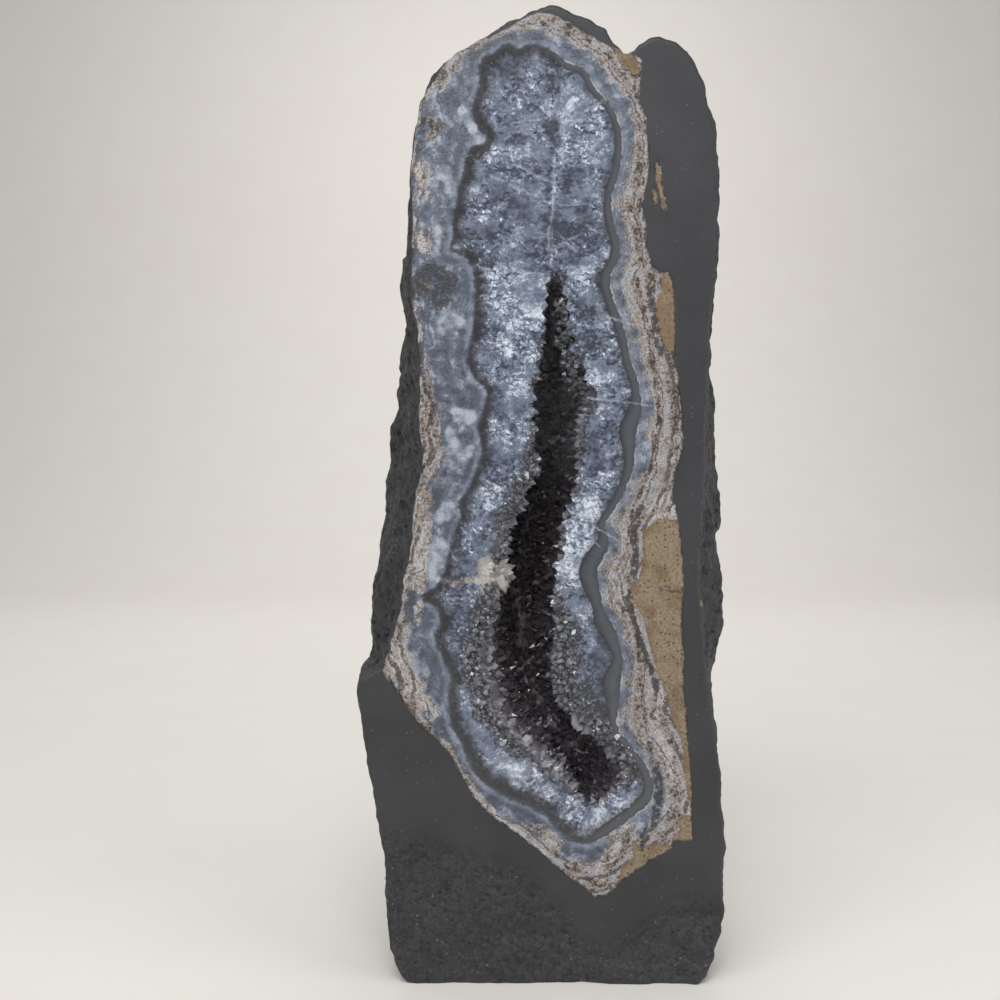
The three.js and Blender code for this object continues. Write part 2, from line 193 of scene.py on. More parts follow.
RUST_MARKS = [
    ([(-36, 260.1), (-31.5, 259.2), (-34.2, 255.6)], 1.6, 1.0),
    ([(21.9, 281.4), (25.5, 277.8), (27.3, 274.2)], 1.6, 0.7),
    ([(2.4, 290.4), (8.1, 288.3), (13.5, 285)], 1.0, 0.8),
    ([(-7.5, 290.1), (-5.1, 289.8)], 1.0, 0.6),
    ([(-37.2, 211.8), (-36, 210.6)], 2.0, 1.0),
    ([(-31.5, 214.8), (-29.7, 208.8)], 1.0, 0.6),
    ([(-35.4, 183.6), (-34.5, 176.4), (-33.3, 169.8)], 1.8, 0.8),
    ([(34.8, 202.8), (36.6, 196.2), (38.1, 192)], 3.0, 1.0),
    ([(38, 189), (39.4, 176), (39.6, 166)], 1.6, 1.0),
    ([(27.3, 213.6), (28.8, 206.4), (31.5, 194.4), (33.3, 182.4), (34.5, 170.4), (33, 159.9),
      (28.8, 149.4), (25.5, 140.4), (24.3, 128.4)], 0.8, 1.0),
    ([(-48.3, 93.6), (-43.5, 86.4), (-38.1, 79.8), (-33.3, 73.8)], 1.3, 1.0),
    ([(25.5, 119.4), (27.9, 104.4), (29.1, 89.4), (30.6, 77.4), (33, 63.9)], 0.7, 0.9),
    ([(20.4, 45), (17.7, 34.8)], 1.0, 0.9),
    ([(25.5, 46.8), (23.1, 41.4)], 0.9, 0.9),
    ([(-9.9, 46.8), (-8.1, 45)], 0.9, 1.0),
    ([(25.5, 121.5), (27.3, 119.4)], 1.4, 1.0),
    ([(-28.5, 121.8), (-27, 121.5)], 0.7, 0.9),
    ([(28.5, 236.4), (27.6, 231), (29.4, 224.4)], 0.8, 0.9),
    ([(26.1, 270.6), (30, 261.9)], 0.7, 0.8),
    ([(-37.2, 206.4), (-36, 191.4), (-35.1, 176.4), (-36, 164.4)], 0.6, 0.7),
]
# Dark veins, and gaps and holes whose darkness is painted shade
DARK_MARKS = [
    ([(24.6, 117), (28.5, 104.4), (31.5, 96.6), (33.6, 89.4)], 0.9, 1.0),
    ([(28.5, 144), (26.7, 137.4), (27.3, 130.8), (26.7, 124.8)], 1.2, 0.9),
    ([(28.5, 42.6), (33.3, 51.9), (34.5, 59.4), (33, 66.9)], 1.5, 0.8),
    ([(30.6, 259.8), (31.8, 251.4), (32.1, 240.6), (30.3, 231.6), (30.9, 221.4)], 1.1, 0.8),
    ([(28.5, 120), (34.8, 119.4), (40.8, 118.5)], 0.22, 1.0),
    ([(31.5, 211.2), (32.1, 205.8), (33.3, 195.9), (34.8, 190.8)], 1.3, 0.8),
    ([(-38.7, 208.8), (-34.5, 215.4), (-29.7, 212.4), (-31.5, 206.4)], 3.2, 1.0),
    ([(-36.3, 271.2), (-31.5, 274.8)], 1.2, 0.7),
    ([(-27, 281.4), (-22.5, 282.9)], 1.0, 0.5),
    ([(-36.9, 260.4), (-38.1, 251.4)], 1.2, 0.6),
    ([(7.8, 37.8), (13.5, 32.4)], 1.2, 0.5),
    ([(-35, 76.5), (-28.5, 67.5), (-23.5, 59.5)], 1.6, 0.8),
]
# How far from the mouth of the hollow the quartz of the front is druse, by height, on the left and right
DRUSE = np.array([[50, 0, 0], [62, 0, 0], [72, 3.5, 3.5], [86, 6, 6], [100, 6.5, 6.5], [112, 5, 4],
                  [124, 1.5, 0.3], [136, 4, 0], [150, 4.5, 0], [160, 3, 0], [172, 1, 0], [200, 0, 0]])
# Where crystals of another growth, beige ones, are cut across, with the vein that leads to them
BEIGE_MARKS = [
    ([(-31.5, 122.1), (-27, 121.5), (-22, 122.4), (-17, 123.6)], 0.9, 1.0),
    ([(-17.4, 127.2), (-12.9, 126.6)], 2.4, 1.0),
    ([(-16.5, 119.7), (-11.4, 121.2)], 2.6, 0.9),
    ([(-18, 123.6), (-10.5, 123.9)], 2.8, 1.0),
]
# Fine pale seams and cracks, each a line with half its width
SEAMS = [
    ([(2.7, 240.6), (2.4, 237), (2.7, 233.4), (1.5, 229.2), (1.2, 226.8), (0.9, 221.4)], 0.34),
    ([(4.8, 257.7), (7.2, 260.4), (10.8, 262.8), (15, 264.9)], 0.44),
    ([(6, 257.4), (9.6, 259.8), (15.6, 261.9)], 0.26),
    ([(1.8, 261.6), (3, 265.8), (4.8, 268.2), (7.2, 271.2)], 0.26),
    ([(2.4, 252.6), (5.4, 249), (5.7, 246.6)], 0.3),
    ([(5.7, 252), (6, 248.4), (10.2, 248.1), (12, 248.7)], 0.24),
    ([(5.7, 252), (9.6, 252.9)], 0.22),
    ([(-8.4, 259.8), (-3.6, 260.4), (-0.3, 261)], 0.24),
    ([(-10.8, 255.6), (-7.8, 257.4), (-3.6, 255.6), (1.2, 252.6)], 0.28),
    ([(-6, 252), (-3.6, 250.2), (-1.8, 247.8)], 0.22),
    ([(-7.8, 246.6), (-4.8, 245.4), (-1.8, 243), (2.4, 241.8), (5.4, 246.6)], 0.3),
    ([(-14.4, 243), (-10.8, 241.2), (-6, 238.8), (-3, 238.2), (-0.9, 240)], 0.34),
    ([(3, 235.2), (7.2, 234.9), (12, 235.2)], 0.16),
    ([(-7.8, 228.6), (-5.4, 225.6), (-3, 225), (0.6, 225.6)], 0.18),
    ([(4.2, 226.2), (6, 224.4), (9.6, 225.6)], 0.22),
    ([(6, 224.4), (8.4, 222)], 0.22),
    ([(-15, 214.2), (-10.2, 215.1), (-6.6, 214.8), (1.2, 214.2), (2.7, 212.4), (2.4, 209.4)], 0.26),
    ([(2.7, 213.6), (4.8, 210.6), (7.2, 209.4), (12, 209.7)], 0.22),
    ([(-6.9, 204), (-3.6, 201.6), (0, 200.7), (1.8, 202.8), (1.5, 207.6)], 0.24),
    ([(7.2, 217.2), (13.2, 213.6)], 0.24),
    ([(19.5, 201.3), (24.5, 199.6)], 0.3),
    ([(11, 177.6), (20, 176.2), (30.5, 175)], 0.24),
    ([(14.7, 138.6), (20.5, 135.2)], 0.22),
    ([(7, 141), (11, 138.2), (16, 133)], 0.16),
    ([(-33, 138), (-27, 129)], 0.2),
]
# Lighter and darker parts of the quartz
LIGHT_MARKS = [
    ([(8.1, 266.4), (14.1, 268.8)], 7.0, 1.0),
    ([(4.5, 251.4), (16.5, 254.4)], 6.0, 0.6),
    ([(-13.5, 246.9), (-3, 240.9)], 7.0, 0.5),
    ([(-12, 210.9), (0, 206.4)], 6.0, 0.9),
    ([(-7.5, 195.9), (-5.1, 176.4), (-9, 164.4)], 6.0, 0.75),
    ([(11.1, 146.4), (8.1, 131.4), (4.5, 117.9)], 6.0, 1.1),
    ([(-13.5, 128.4), (-22.5, 119.4)], 5.0, 0.5),
    ([(-7.5, 65.4), (9, 48), (24.9, 57.9)], 4.0, 0.9),
    ([(6, 50), (13, 46.5), (26, 54)], 3.0, 0.9),
    ([(-19.5, 92.4), (-13.5, 74.4), (-4.5, 62.4)], 6.0, 0.5),
    ([(16.5, 197.4), (21, 182.4)], 5.0, 0.2),
    ([(-12, 231.9), (4.5, 222.9), (15.9, 230.4)], 7.0, -0.7),
    ([(-10.5, 273.9), (4.5, 275.4)], 4.0, -0.6),
    ([(-13.5, 266.4), (-15, 278.4)], 4.0, -0.6),
    ([(16.5, 101.4), (16.5, 86.4)], 5.0, -0.9),
    ([(-22.5, 113.4), (-16.5, 101.4)], 4.0, -0.4),
    ([(1.5, 251.4), (0.9, 236.4), (0.3, 215.4)], 1.0, -0.8),
    ([(13.5, 174.9), (16.5, 164.4)], 4.0, -0.3),
    ([(2.1, 259.2), (3, 253.8)], 2.0, -2.6),
    ([(-15, 123), (-12, 124)], 5.0, 1.0),
]
# Smooth parts of the quartz: flat breaks without facets
SMOOTH_MARKS = [
    ([(2.1, 259.2), (3, 253.8)], 2.0, 1.0),
    ([(0.6, 240.6), (0.6, 238.2)], 1.4, 1.0),
    ([(-7.5, 234), (-1.5, 230.4)], 4.2, 0.9),
    ([(9.6, 243.6), (12, 239.4)], 3.6, 0.9),
    ([(4.8, 229.2), (4.5, 226.8)], 2.4, 0.8),
    ([(-6, 209.4), (-2.4, 205.8)], 4.0, 0.85),
    ([(-12, 220.2), (-6, 219)], 3.6, 0.8),
    ([(8.4, 218.4), (12.6, 218.7)], 3.0, 0.8),
    ([(15.6, 104.4), (17.1, 97.5)], 3.0, 0.8),
    ([(9, 168), (12, 160)], 3.0, 0.5),
]


def srgb(red, green, blue):
    """A colour as seen on a screen, 0 to 255, as the light that Blender's sockets take."""
    share = np.array([red, green, blue]) / 255
    low, high = share / 12.92, ((share + 0.055) / 1.055) ** 2.4
    return tuple(float(value) for value in np.where(share <= 0.04045, low, high))


def colour_of(name, description, *shade):
    """A colour property with a screen colour as its default."""
    return FloatVectorProperty(name=name, description=description, subtype="COLOR", size=3, min=0, max=1,
                               default=srgb(*shade))


def amount_of(name, description, default, **limits):
    """A number property that can't be negative."""
    return FloatProperty(name=name, description=description, default=default, min=0.0, **limits)


# Curves and noise

def curve_through(points, t, closed=False):
    """Centripetal Catmull-Rom curve: between each two points a cubic whose slopes come from the neighbours,
    weighed by the fourth root of the squared distance between them. t runs from 0 to 1, as a whole array."""
    count = len(points)
    place = (count - (0 if closed else 1)) * np.asarray(t, float)
    index = np.floor(place).astype(int)
    share = place - index
    if closed:
        corners = [points[(index + k) % count] for k in (-1, 0, 1, 2)]
    else:
        share = np.where(index > count - 2, 1.0, share)
        index = np.minimum(index, count - 2)
        ends = np.vstack([2 * points[0] - points[1], points, 2 * points[-1] - points[-2]])
        corners = [ends[index + k] for k in (0, 1, 2, 3)]
    before, start, end, after = corners
    gaps = [((b - a) ** 2).sum(-1)[:, None] ** 0.25 for a, b in zip(corners, corners[1:])]
    middle = np.where(gaps[1] < NO_GAP, 1.0, gaps[1])
    first = np.where(gaps[0] < NO_GAP, middle, gaps[0])
    last = np.where(gaps[2] < NO_GAP, middle, gaps[2])
    step = end - start
    slope_in = middle * ((start - before) / first - (end - before) / (first + middle)) + step
    slope_out = middle * ((after - end) / last - (after - start) / (middle + last)) + step
    w = share[:, None]
    square = 3 * step - 2 * slope_in - slope_out
    cube = slope_in + slope_out - 2 * step
    return start + slope_in * w + square * w**2 + cube * w**3


def lattice_value(i, j, k):
    """A repeatable number from 0 to 1 for each point of a lattice: the fraction of a large sine."""
    wave = np.sin(i * WAVES[0] + j * WAVES[1] + k * WAVES[2]) * WAVE_GAIN
    return wave - np.floor(wave)


def smooth_noise(points, long):
    """Noise from -1 to 1: eased blends between the values at a lattice's corners, which are long apart."""
    place = points / long
    cell = np.floor(place)
    ease = place - cell
    ease = ease * ease * (3 - 2 * ease)
    total = np.zeros(points.shape[:-1])
    for di in (0, 1):
        for dj in (0, 1):
            for dk in (0, 1):
                near = np.where([di, dj, dk], ease, 1 - ease).prod(-1)
                total += near * lattice_value(*np.moveaxis(cell + [di, dj, dk], -1, 0))
    return 2 * total - 1


def strewn_distance(points, cell, seed):
    """Distance from each point to the nearest of the seeds strewn one to each cell of a lattice, and that
    seed's own chance from 0 to 1. The seeds of the 27 cells around are looked at."""
    home = np.floor(points / cell)
    nearest = np.full(points.shape[:-1], np.inf)
    chance = np.zeros(points.shape[:-1])
    for step in np.ndindex(3, 3, 3):
        corner = home + np.array(step) - 1
        i, j, k = np.moveaxis(corner + seed, -1, 0)
        jitter = np.stack([lattice_value(i, j, k + offset) for offset in (0.1, 0.2, 0.3)], -1)
        gap = np.linalg.norm((corner + jitter) * cell - points, axis=-1)
        chance = np.where(gap < nearest, lattice_value(i, j, k + 0.4), chance)
        nearest = np.minimum(gap, nearest)
    return nearest, chance


def blend(start, end, share):
    return start + (end - start) * share


def unit(vectors):
    """The vectors made one long."""
    return vectors / np.maximum(np.linalg.norm(vectors, axis=-1, keepdims=True), TINY)


def passed_along(line):
    """How far along a line of points each of them lies."""
    return np.concatenate([[0], np.cumsum(np.linalg.norm(np.diff(line, axis=0), axis=1))])


def smooth_step(value, low, high):
    """0 below low, 1 above high, and eased in between."""
    share = np.clip((value - low) / (high - low), 0, 1)
    return share * share * (3 - 2 * share)


def line_distance(points, line, closed=False):
    """Distance from each point to a line of straight pieces, by the nearest point of every piece."""
    ends = np.roll(line, -1, 0) if closed else line[1:]
    nearest = np.full(len(points), np.inf)
    for start, end in zip(line, ends):
        along = end - start
        share = np.clip((points - start) @ along / max(along @ along, TINY), 0, 1)
        nearest = np.minimum(nearest, np.linalg.norm(points - start - share[:, None] * along, axis=1))
    return nearest


def inside_outline(points, line):
    """True where a ray to the right crosses the outline an odd number of times."""
    odd = np.zeros(len(points), bool)
    for start, end in zip(line, np.roll(line, -1, 0)):
        spans = (start[1] > points[:, 1]) != (end[1] > points[:, 1])
        rise = end[1] - start[1]
        crossing = start[0] + (points[:, 1] - start[1]) * (end[0] - start[0]) / (rise if rise else 1)
        odd ^= spans & (points[:, 0] < crossing)
    return odd


def outline_distance(points, line):
    """Distance from an outline, counted positive inside it."""
    gap = line_distance(points, line, closed=True)
    return np.where(inside_outline(points, line), gap, -gap)


def marks_at(points, marks):
    """How strongly the marks cover each point: 1 on a mark's line, falling to 0 at 1.5 times its reach."""
    total = np.zeros(len(points))
    for line, reach, strength in marks:
        gap = line_distance(points, np.array(line, float))
        total += strength * (1 - smooth_step(gap, 0.5 * reach, 1.5 * reach))
    return total


def seams_at(points, seams):
    """For each point, by the nearest piece of a line: how far it lies to the left of it, negative to the
    right, and its distance, both counted in that line's half widths times the usual half width."""
    nearest = np.full(len(points), np.inf)
    aside = np.zeros(len(points))
    for line, half in seams:
        line = np.array(line, float)
        for start, end in zip(line, line[1:]):
            along, to = end - start, points - start
            share = np.clip((to @ along) / (along @ along), 0, 1)
            gap = np.linalg.norm(to - share[:, None] * along, axis=1) * USUAL_SEAM / half
            left = (along[0] * to[:, 1] - along[1] * to[:, 0]) / np.linalg.norm(along) * USUAL_SEAM / half
            aside = np.where(gap < nearest, left, aside)
            nearest = np.minimum(gap, nearest)
    return aside, nearest


# The stone's surfaces, in its own millimetres

def climb(u):
    return 1 - np.abs(1 - 2 * u)


def quarter(t):
    """A squarish quarter ellipse: the share of the way inwards and of the way back, at t."""
    angle = t * np.pi / 2
    return 1 - np.maximum(0, np.cos(angle)) ** SQUARENESS, np.sin(angle) ** SQUARENESS


def edge_at(u):
    """The edge of the sawn face (x, swell, z) at the spokes u."""
    return curve_through(SPOKES[:, [0, 2, 1]], u % 1, closed=True)


def mouth_at(u):
    """The mouth of the hollow (x, flare, z) at the spokes u."""
    return curve_through(SPOKES[:, [3, 5, 4]], u % 1, closed=True)


def skin_at(u, t):
    """The rough outside: a quarter ellipse from the edge of the cut to the ridge of the back, swollen at the
    sides, and moved in and out by two octaves of noise, which fade towards the cut and the base."""
    edge = edge_at(u)
    ridge = curve_through(BACK_RIDGE, np.maximum(0, (climb(u) - BASE_SHARE) / (1 - BASE_SHARE)))
    inward, back = (share[:, None] for share in quarter(t))
    side = np.clip((edge[:, 0] - ridge[:, 0]) / SWELL_TURN, -1, 1)
    rise = np.sin(np.pi / 2 * np.minimum(1, t / SWELL_AT)) * (1 - t)
    x = blend(edge[:, 0], ridge[:, 0], inward) + side * edge[:, 1] * rise[:, None]
    points = np.stack([x, blend(FACE_Y, ridge[:, 1], back), blend(edge[:, 2], ridge[:, 2], inward)], -1)
    flat = points[..., 2] < 0.01
    points[..., 2] = np.where(flat, 0, points[..., 2])
    fade = np.minimum(1, t / FADE_CUT)[:, None] * np.minimum(1, points[..., 2] / FADE_BASE)
    high = LUMP_HIGH * smooth_noise(points, LUMP_LONG) + KNOB_HIGH * smooth_noise(points, KNOB_LONG)
    above = np.maximum(0, points[..., 2] - CROWN_Z)
    out = unit(np.stack([points[..., 0] - ridge[:, 0], points[..., 1], above], -1))
    return points + out * (high * fade * ~flat)[..., None], out, flat


def foot_share(x, z):
    """0 on the sawn face, rising to 1 below the slanting line where the saw cut ends."""
    dip = DIP_DEEP * np.exp(-(((x - DIP_X) / DIP_WIDE) ** 2))
    return smooth_step(FOOT_HIGH - FOOT_SLOPE * (x - FOOT_FROM) - dip - z, 0, FOOT_FADE)


def hollow_at(u, t, inset):
    """The wall of the hollow, moved inwards by inset: a quarter ellipse from its mouth, flared by a sine,
    to its deepest line."""
    mouth = mouth_at(u)
    along = mouth_at(u + 0.001) - mouth_at(u - 0.001)
    inwards = unit(np.stack([along[:, 2], -along[:, 0]], -1))
    level = (mouth_at(u)[:, 2] + mouth_at(1 - u)[:, 2]) / 2
    keel = curve_through(HOLLOW_KEEL, climb(u % 1))
    middle = (SPOKES[0, 4] + SPOKES[len(SPOKES) // 2, 4]) / 2
    keel_z = blend(level, middle, KEEL_SHORTER + KEEL_END * inset)
    flare = mouth[:, 1] * np.sin(np.pi * np.minimum(1, FLARE_RATE * t))
    from_x = mouth[:, 0] + inwards[:, 0] * (inset - flare)
    from_z = mouth[:, 2] + inwards[:, 1] * (inset - flare)
    inward, back = quarter(t)
    y = blend(FACE_Y, keel[:, 1] - KEEL_BACK * inset, back)
    return np.stack([blend(from_x, keel[:, 0], inward), y, blend(from_z, keel_z, inward)], -1)


def turned_aside(line):
    """The direction across a closed line of points (x, z), into the space that it goes round."""
    along = np.roll(line, -1, 0) - np.roll(line, 1, 0)
    return unit(np.stack([along[:, 1], -along[:, 0]], -1))


def growth_at(points):
    """Where a point lies in the quartz's growth: along the line that the crystals grew towards, going round
    its ends as on a fan and counted apart on its two sides, and across, as the distance from that line."""
    starts = passed_along(HEART)
    across = np.full(len(points), np.inf)
    along = np.zeros(len(points))
    for start, step, length, passed in zip(HEART, np.diff(HEART, axis=0), np.diff(starts), starts):
        to = points - start
        share = (to @ step) / length**2
        held = np.clip(share, 0, 1)
        offset = to - held[:, None] * step
        gap = np.linalg.norm(offset, axis=1)
        side = np.where(step[0] * to[:, 1] - step[1] * to[:, 0] > 0, -1, 1)
        aside = np.abs(step[0] * offset[:, 1] - step[1] * offset[:, 0])
        lean = np.arctan2(offset @ step, aside)
        past_end = ((share < 0) & (passed == 0)) | ((share > 1) & (passed + length >= starts[-1]))
        here = side * (passed + held * length + TURN * (np.pi / 2 + np.where(past_end, lean, 0)))
        along = np.where(gap < across, here, along)
        across = np.minimum(gap, across)
    return along, across


# Meshes

def grid_faces(rows, columns, inwards):
    """The four-sided faces of a grid that closes on itself along its rows."""
    row, column = np.meshgrid(np.arange(rows - 1), np.arange(columns), indexing="ij")
    a = (row * columns + column).ravel()
    b = (row * columns + (column + 1) % columns).ravel()
    corners = [a, a + columns, b + columns, b] if inwards else [a, b, b + columns, a + columns]
    return np.stack(corners, -1)


def mesh_from(name, points, faces, **attributes):
    """A mesh from points in the stone's millimetres and faces with all the same number of corners. Each
    attribute is one array, or a tuple of three."""
    mesh = bpy.data.meshes.new(name)
    corners = faces.shape[1]
    mesh.vertices.add(len(points))
    mesh.vertices.foreach_set("co", ((points + SHIFT) * MM).astype(np.float32).ravel())
    mesh.loops.add(faces.size)
    mesh.loops.foreach_set("vertex_index", faces.astype(np.int32).ravel())
    mesh.polygons.add(len(faces))
    mesh.polygons.foreach_set("loop_start", np.arange(0, faces.size, corners, dtype=np.int32))
    mesh.update(calc_edges=True)
    for title, values in attributes.items():
        kind, field = "FLOAT", "value"
        if isinstance(values, tuple):
            kind, field, values = "FLOAT_VECTOR", "vector", np.stack(values, -1)
        layer = mesh.attributes.new(title, kind, "POINT")
        layer.data.foreach_set(field, values.astype(np.float32).ravel())
    return mesh


def placed(name, data, smooth=None):
    """A new object in the scene, with its faces smooth or flat if it is a mesh."""
    if smooth is not None:
        data.polygons.foreach_set("use_smooth", np.full(len(data.polygons), smooth))
    made = bpy.data.objects.new(name, data)
    bpy.context.scene.collection.objects.link(made)
    return made


def piece_from(name, mesh, materials, node, smooth=True, merge=0.0):
    """An object for a finished mesh, riding on the one body and standing for its CAD node."""
    if merge:
        work = bmesh.new()
        work.from_mesh(mesh)
        bmesh.ops.remove_doubles(work, verts=work.verts, dist=merge)
        work.to_mesh(mesh)
        work.free()
    if mesh.validate():
        raise RuntimeError(f"{name}: the mesh had faults")
    piece = placed(name, mesh, smooth)
    for material in materials:
        mesh.materials.append(material)
    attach(piece, "root")
    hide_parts(node)
    return piece


# Node trees

class Value:
    """What a socket gives, for formulas with +, -, *, / and abs. Beside a vector or a colour, a number counts
    for each of the three parts."""

    def __init__(self, n, socket):
        self.n = n
        self.socket = socket
        self.kind = socket.type

    def __add__(self, other):
        return self.n.math("ADD", self, other)

    def __sub__(self, other):
        return self.n.math("SUBTRACT", self, other)

    def __rsub__(self, other):
        return self.n.math("SUBTRACT", other, self)

    def __mul__(self, other):
        return self.n.math("MULTIPLY", self, other)

    def __truediv__(self, other):
        return self.n.math("DIVIDE", self, other)

    def __abs__(self):
        return self.n.math("ABSOLUTE", self)

    __radd__, __rmul__ = __add__, __mul__

    def rise(self, low, high, start=0.0, end=1.0):
        """Eases from start to end as the value goes from low to high."""
        inputs = {"Value": self, 1: low, 2: high, 3: start, 4: end}
        return self.n.node("MapRange", inputs, interpolation_type="SMOOTHSTEP")


class Nodes:
    """Short calls that add nodes to one tree and join them. What they take is a number, a colour, a vector or
    a Value. The textures of a flat tree have two dimensions, and result is where the tree's values go."""

    def __init__(self, tree, result, flat):
        self.tree = tree
        self.result = result
        self.space = "2D" if flat else "3D"

    def feed(self, socket, value):
        """Joins a Value to a socket, or sets a constant on it."""
        if isinstance(value, Value):
            self.tree.links.new(value.socket, socket)
            return
        if socket.type in ("RGBA", "VECTOR") and not hasattr(value, "__len__"):
            value = (value,) * 3
        socket.default_value = (*value[:3], 1) if socket.type == "RGBA" else value

    def give(self, **values):
        """Feeds the tree's result. The sockets' names are written with _ for a space."""
        for name, value in values.items():
            self.feed(self.result[name.replace("_", " ")], value)

    def new(self, kind, inputs, **settings):
        made = self.tree.nodes.new("ShaderNode" + kind)
        for name, value in settings.items():
            setattr(made, name, value)
        for name, value in inputs.items():
            self.feed(made.inputs[name], value)
        return made

    def node(self, kind, inputs, output=0, **settings):
        return Value(self, self.new(kind, inputs, **settings).outputs[output])

    def math(self, operation, *values, output=0):
        """A Math node, or a Vector Math node where a vector or a colour takes part."""
        parted = [hasattr(value, "__len__") or getattr(value, "kind", "VALUE") != "VALUE" for value in values]
        kind = "VectorMath" if any(parted) else "Math"
        return self.node(kind, dict(enumerate(values)), output, operation=operation)

    def highest(self, a, b):
        return self.math("MAXIMUM", a, b)

    def lowest(self, a, b):
        return self.math("MINIMUM", a, b)

    def parts(self, vector):
        return [Value(self, socket) for socket in self.new("SeparateXYZ", {0: vector}).outputs]

    def joined(self, x, y, z):
        return self.node("CombineXYZ", {0: x, 1: y, 2: z})

    def noise(self, where, long, detail=2.0, rough=0.5, colour=False):
        """Noise whose features are about long millimetres: 0 to 1, or a colour."""
        inputs = {"Vector": where, "Scale": 1 / long, "Detail": detail, "Roughness": rough}
        return self.node("TexNoise", inputs, "Color" if colour else 0, noise_dimensions=self.space)

    def layers(self, level, thick, detail=1.0):
        """Layers about thick millimetres thick, from 0 to 1, at a level in millimetres."""
        inputs = {"W": level, "Scale": 1 / thick, "Detail": detail}
        return self.node("TexNoise", inputs, noise_dimensions="1D")

    def voronoi(self, where, size, *outputs):
        """Values of cells about size millimetres wide."""
        cell = self.new("TexVoronoi", {"Vector": where, "Scale": 1 / size}, voronoi_dimensions=self.space)
        return [Value(self, cell.outputs[output]) for output in outputs]

    def cells(self, where, size):
        """The distance from the seed of each cell, and the cell's own chance from 0 to 1."""
        gap, colour = self.voronoi(where, size, "Distance", "Color")
        return gap, self.node("SeparateColor", {0: colour})

    def tilted(self, where, size):
        """A height of flat cells, each sloping its own way."""
        seed, colour = self.voronoi(where, size, "Position", "Color")
        return self.math("DOT_PRODUCT", where - seed, colour - 0.5, output="Value")

    def mix(self, factor, a, b, blend="MIX"):
        return self.node("Mix", {0: factor, 6: a, 7: b}, 2, data_type="RGBA", blend_type=blend)

    def toned(self, colour, tone):
        """A colour made lighter or darker by a factor."""
        return self.mix(1.0, colour, tone, "MULTIPLY")

    def ramp(self, value, places, colours):
        """A colour ramp with a colour at each place."""
        node = self.new("ValToRGB", {0: value})
        elements = node.color_ramp.elements
        for _ in places[len(elements):]:
            elements.new(1.0)
        for element, place, colour in zip(elements, places, colours):
            element.position = place
            element.color = (*colour[:3], 1)
        return Value(self, node.outputs[0])

    def group(self, name, **inputs):
        """The values of one of the shared groups, by the names of its outputs."""
        node = self.new("Group", inputs, node_tree=shared_group(name))
        return {socket.name: Value(self, socket) for socket in node.outputs}

    def position(self):
        """Object coordinates in millimetres."""
        return self.node("TexCoord", {}, "Object") * (1 / MM)

    def laid_flat(self):
        """Object coordinates in millimetres for flat textures: x and z, each moved on with the depth y, so
        that nothing is drawn out into the depth."""
        x, y, z = self.parts(self.position())
        return self.joined(x + y * 0.7, z + y * 0.5, 0.0)

    def attribute(self, name, output="Vector"):
        return self.node("Attribute", {}, output, attribute_type="GEOMETRY", attribute_name=name)

    def surface(self, colour, roughness, height, strength, deep, shine=0.4):
        """The look of a surface that light doesn't enter, with bumps that are deep millimetres high at 1."""
        bumps = self.node("Bump", {"Strength": strength, "Distance": deep * MM, "Height": height})
        self.give(Base_Color=colour, Roughness=roughness, Normal=bumps, Specular_IOR_Level=shine)


def group_tree(name, inputs, outputs, flat=True):
    """An empty shader node group, as its short calls and the values of its inputs. Each socket is written as
    its name and f, v or c, for a number, a vector or a colour."""
    tree = bpy.data.node_groups.new(name, "ShaderNodeTree")
    kinds = {"f": "NodeSocketFloat", "v": "NodeSocketVector", "c": "NodeSocketColor"}
    for way, sockets in (("INPUT", inputs), ("OUTPUT", outputs)):
        for socket in sockets.split():
            title, kind = socket.split(":")
            tree.interface.new_socket(name=title, in_out=way, socket_type=kinds[kind])
    n = Nodes(tree, tree.nodes.new("NodeGroupOutput").inputs, flat)
    given = tree.nodes.new("NodeGroupInput").outputs
    return n, *(Value(n, given[socket.split(":")[0]]) for socket in inputs.split())


def paint_group():
    """Dark paint, clouded and finely grained."""
    outputs = "Color:c Roughness:f Grain:f Clouds:f"
    n, where, paint = group_tree("Paint", "Position:v Paint:c", outputs, flat=False)
    clouds = n.noise(where, 18, detail=3)
    grain = n.noise(where, 0.8, detail=4, rough=0.65)
    tone = clouds.rise(0.3, 0.7, 0.88, 1.1) + (grain - 0.5) * 0.5
    n.give(Color=n.toned(paint, tone), Roughness=grain.rise(0.3, 0.7, 0.44, 0.6), Grain=grain, Clouds=clouds)


